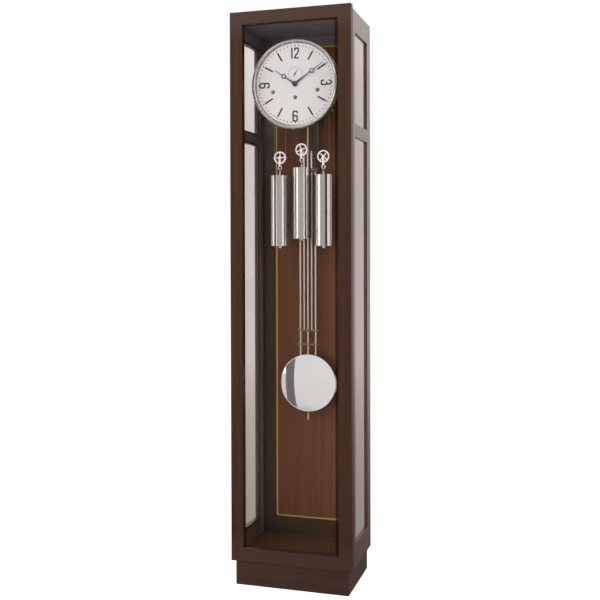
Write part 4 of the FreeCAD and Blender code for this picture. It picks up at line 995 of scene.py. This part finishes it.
bpy.ops.object.select_all(action="DESELECT")
section = bpy.data.objects.new("cable_section", bpy.data.curves.new("cable_section", "CURVE"))
scene.collection.objects.link(section)
lobes = section.data.splines.new("POLY")
lobes.points.add(11)
lobes.use_cyclic_u = True
for i, point in enumerate(lobes.points):
    reach = lobe_reach[i % 2] * mm
    point.co = (reach * math.cos(i * math.pi / 6), reach * math.sin(i * math.pi / 6), 0, 1)
print("points in the section:", len(lobes.points))

# %% [markdown]
# The cable is taut, so it follows straight runs and round arcs. The route is a smooth spline whose
# control points stand just outside the arcs, so that the curve touches them.

# %% Route of a cable
cable_radius = 19.5
arc_step = 30  # degrees between the control points of an arc
corner_radius = cable_radius / math.cos(math.radians(arc_step / 2))
corner_rise = cable_radius * math.tan(math.radians(arc_step / 2))
cable_pitch = 1.7
cable_turns = 15
lay_length = 9.0


def straight(start, end):
    """Points along a taut run, about one lay apart, with both ends."""
    count = max(2, round((Vector(end) - Vector(start)).length / lay_length))
    return [Vector(start).lerp(Vector(end), i / count) for i in range(count)] + [Vector(end)]


def cable_route(x, drum_z, pulley_z, post_z, side):
    """Control points in millimetres; side is +1 where the cable leaves the right of the drum."""

    def on_arc(degrees, y, middle_z):
        a = math.radians(degrees)
        across, up = side * corner_radius * math.cos(a), corner_radius * math.sin(a)
        return Vector((x + across, y, middle_z + up))

    away, near = x - side * cable_radius, x + side * cable_radius
    points = straight((away, 0, post_z), (away, 0, pulley_z + corner_rise))
    for k in range(180 // arc_step):
        points.append(on_arc(180 + arc_step / 2 + arc_step * k, 0, pulley_z))
    points += straight((near, 0, pulley_z + corner_rise), (near, 0, drum_z - corner_rise))
    for k in range(360 // arc_step * cable_turns):
        degrees = arc_step / 2 + arc_step * k
        points.append(on_arc(degrees, cable_pitch * degrees / 360, drum_z))
    end_y = cable_pitch * cable_turns
    tail = (end_y, end_y + 2 * cable_pitch)
    return points + [Vector((near, y, drum_z + 2)) for y in tail]


print("turns on a drum:", cable_turns)

# %% [markdown]
# The tilt of the spline turns the section once every 9 mm, which lays the wires. Each cable takes
# the place of its plain solid.


# %% Laid cables
def laid_cable(name, route):
    cable = bpy.data.objects.new(name, bpy.data.curves.new(name, "CURVE"))
    scene.collection.objects.link(cable)
    cable.data.dimensions = "3D"
    line = cable.data.splines.new("NURBS")
    line.points.add(len(route) - 1)
    run = 0.0
    for i, (point, spot) in enumerate(zip(line.points, route)):
        run += (spot - route[i - 1]).length if i else 0.0
        point.co = (*(spot * mm), 1)
        point.tilt = 2 * math.pi * run / lay_length
    line.order_u = 3
    line.use_endpoint_u = True
    line.resolution_u = 11
    cable.data.bevel_mode = "OBJECT"
    cable.data.bevel_object = section
    cable.data.use_fill_caps = True
    pick(cable)
    bpy.ops.object.convert(target="MESH")
    bpy.ops.object.shade_smooth()
    return bpy.context.object, run


for name, x, drum_z, pulley_z, post_z, side in (
    ("left", -77, 1642, 1430, 1585, 1),
    ("middle", 0, 1621, 1455, 1586, -1),
    ("right", 77, 1642, 1430, 1585, -1),
):
    cable, run = laid_cable(name + "_laid_cable", cable_route(x, drum_z, pulley_z, post_z, side))
    cable.data.materials.clear()
    cable.data.materials.append(cable_steel)
    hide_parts(name + "_cable")
    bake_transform(cable)
    print(cable.name, "faces:", len(cable.data.polygons), "length about", round(run), "mm")
bpy.data.objects.remove(section)

# %% [markdown]
# ## Slotted screws
# The plates are held to their pillars, and the bracket and the back panel to the case, by slotted
# screws. One is turned with a low domed head, and a Boolean cuts the slot.


# %% A slotted screw
def slotted_screw(head_radius, head_height, shank_radius, shank):
    r, h = head_radius, head_height
    head = [(0, h), (0.6 * r, 0.94 * h), (0.86 * r, 0.75 * h), (r, 0.3 * h), (r, 0)]
    stem = [(shank_radius, 0), (shank_radius, -shank), (0, -shank)]
    screw = turned_piece("screw", head + stem, 24)
    blade = block(size=(3 * r, 0.22 * r, 0.9 * h), middle=(0, 0, h))
    pick(screw)
    slot_cut = screw.modifiers.new("slot", "BOOLEAN")
    slot_cut.operation = "DIFFERENCE"
    slot_cut.object = blade
    bpy.ops.object.modifier_apply(modifier=slot_cut.name)
    bpy.data.objects.remove(blade)
    return screw


print("screw recipe ready")

# %% [markdown]
# Copies are set where the screws belong, some facing forwards and some backwards. Those on the
# bracket take the place of its plain screws.

# %% Screws in place
bracket_places = [((s * 25.5, 123, z), (90, 20 * s + z, 0)) for s in (-1, 1) for z in (1570, 1634)]
bracket = copies("bracket_slotted_screws", slotted_screw(4.5, 3.0, 2.4, 3.8), bracket_places)
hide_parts("bracket_screws")
hand_over(bracket, steel, "case")

front_plate_y, back_plate_y = -50, 37
pillars = [(s * 96.5, z) for s in (-1, 1) for z in (1590, 1730)]
plate_places = [((x, front_plate_y, z), to_front) for x, z in pillars]
plate_places += [((x, back_plate_y, z), to_back) for x, z in pillars]
plate_screws = copies("plate_screws", slotted_screw(4.2, 2.2, 2.2, 0.5), plate_places)
hand_over(plate_screws, blued, "case")

panel_rows = (120, 480, 840, 1200, 1560, 1850)
panel_places = [((s * 172, 138.6, z), (-90, 30 * s, 0)) for s in (-1, 1) for z in panel_rows]
panel_screws = copies("back_panel_screws", slotted_screw(4.0, 1.6, 1.8, 0.5), panel_places)
hand_over(panel_screws, brass, "case")

# %% [markdown]
# ## Ferrules on the chime rods
# Each chime rod is driven into the iron block through a turned brass ferrule, which thins towards
# the rod. They are the bright dots at the head of the dark rods.

# %% Chime ferrules
rod_count, rod_radius = 5, 2
low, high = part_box("chime_rods")
rod_x, rod_head = (low.x + high.x) / 2 / mm, high.z / mm
rod_gap = ((high.y - low.y) / mm - 2 * rod_radius) / (rod_count - 1)
rod_spots = [(rod_x, low.y / mm + rod_radius + i * rod_gap, rod_head) for i in range(rod_count)]
ferrule_outline = [(2.1, 0), (3.6, 0), (3.6, -3.0), (3.0, -4.2), (2.6, -7.0), (2.1, -7.4), (2.1, 0)]
ferrule = turned_piece("ferrule", ferrule_outline, 24)
ferrules = copies("chime_ferrules", ferrule, [(spot, (0, 0, 0)) for spot in rod_spots])
hand_over(ferrules, brass, "case")

# %% [markdown]
# ## Hand over
# The view layer is brought up to date at the end.

# %% Last update
bpy.context.view_layer.update()
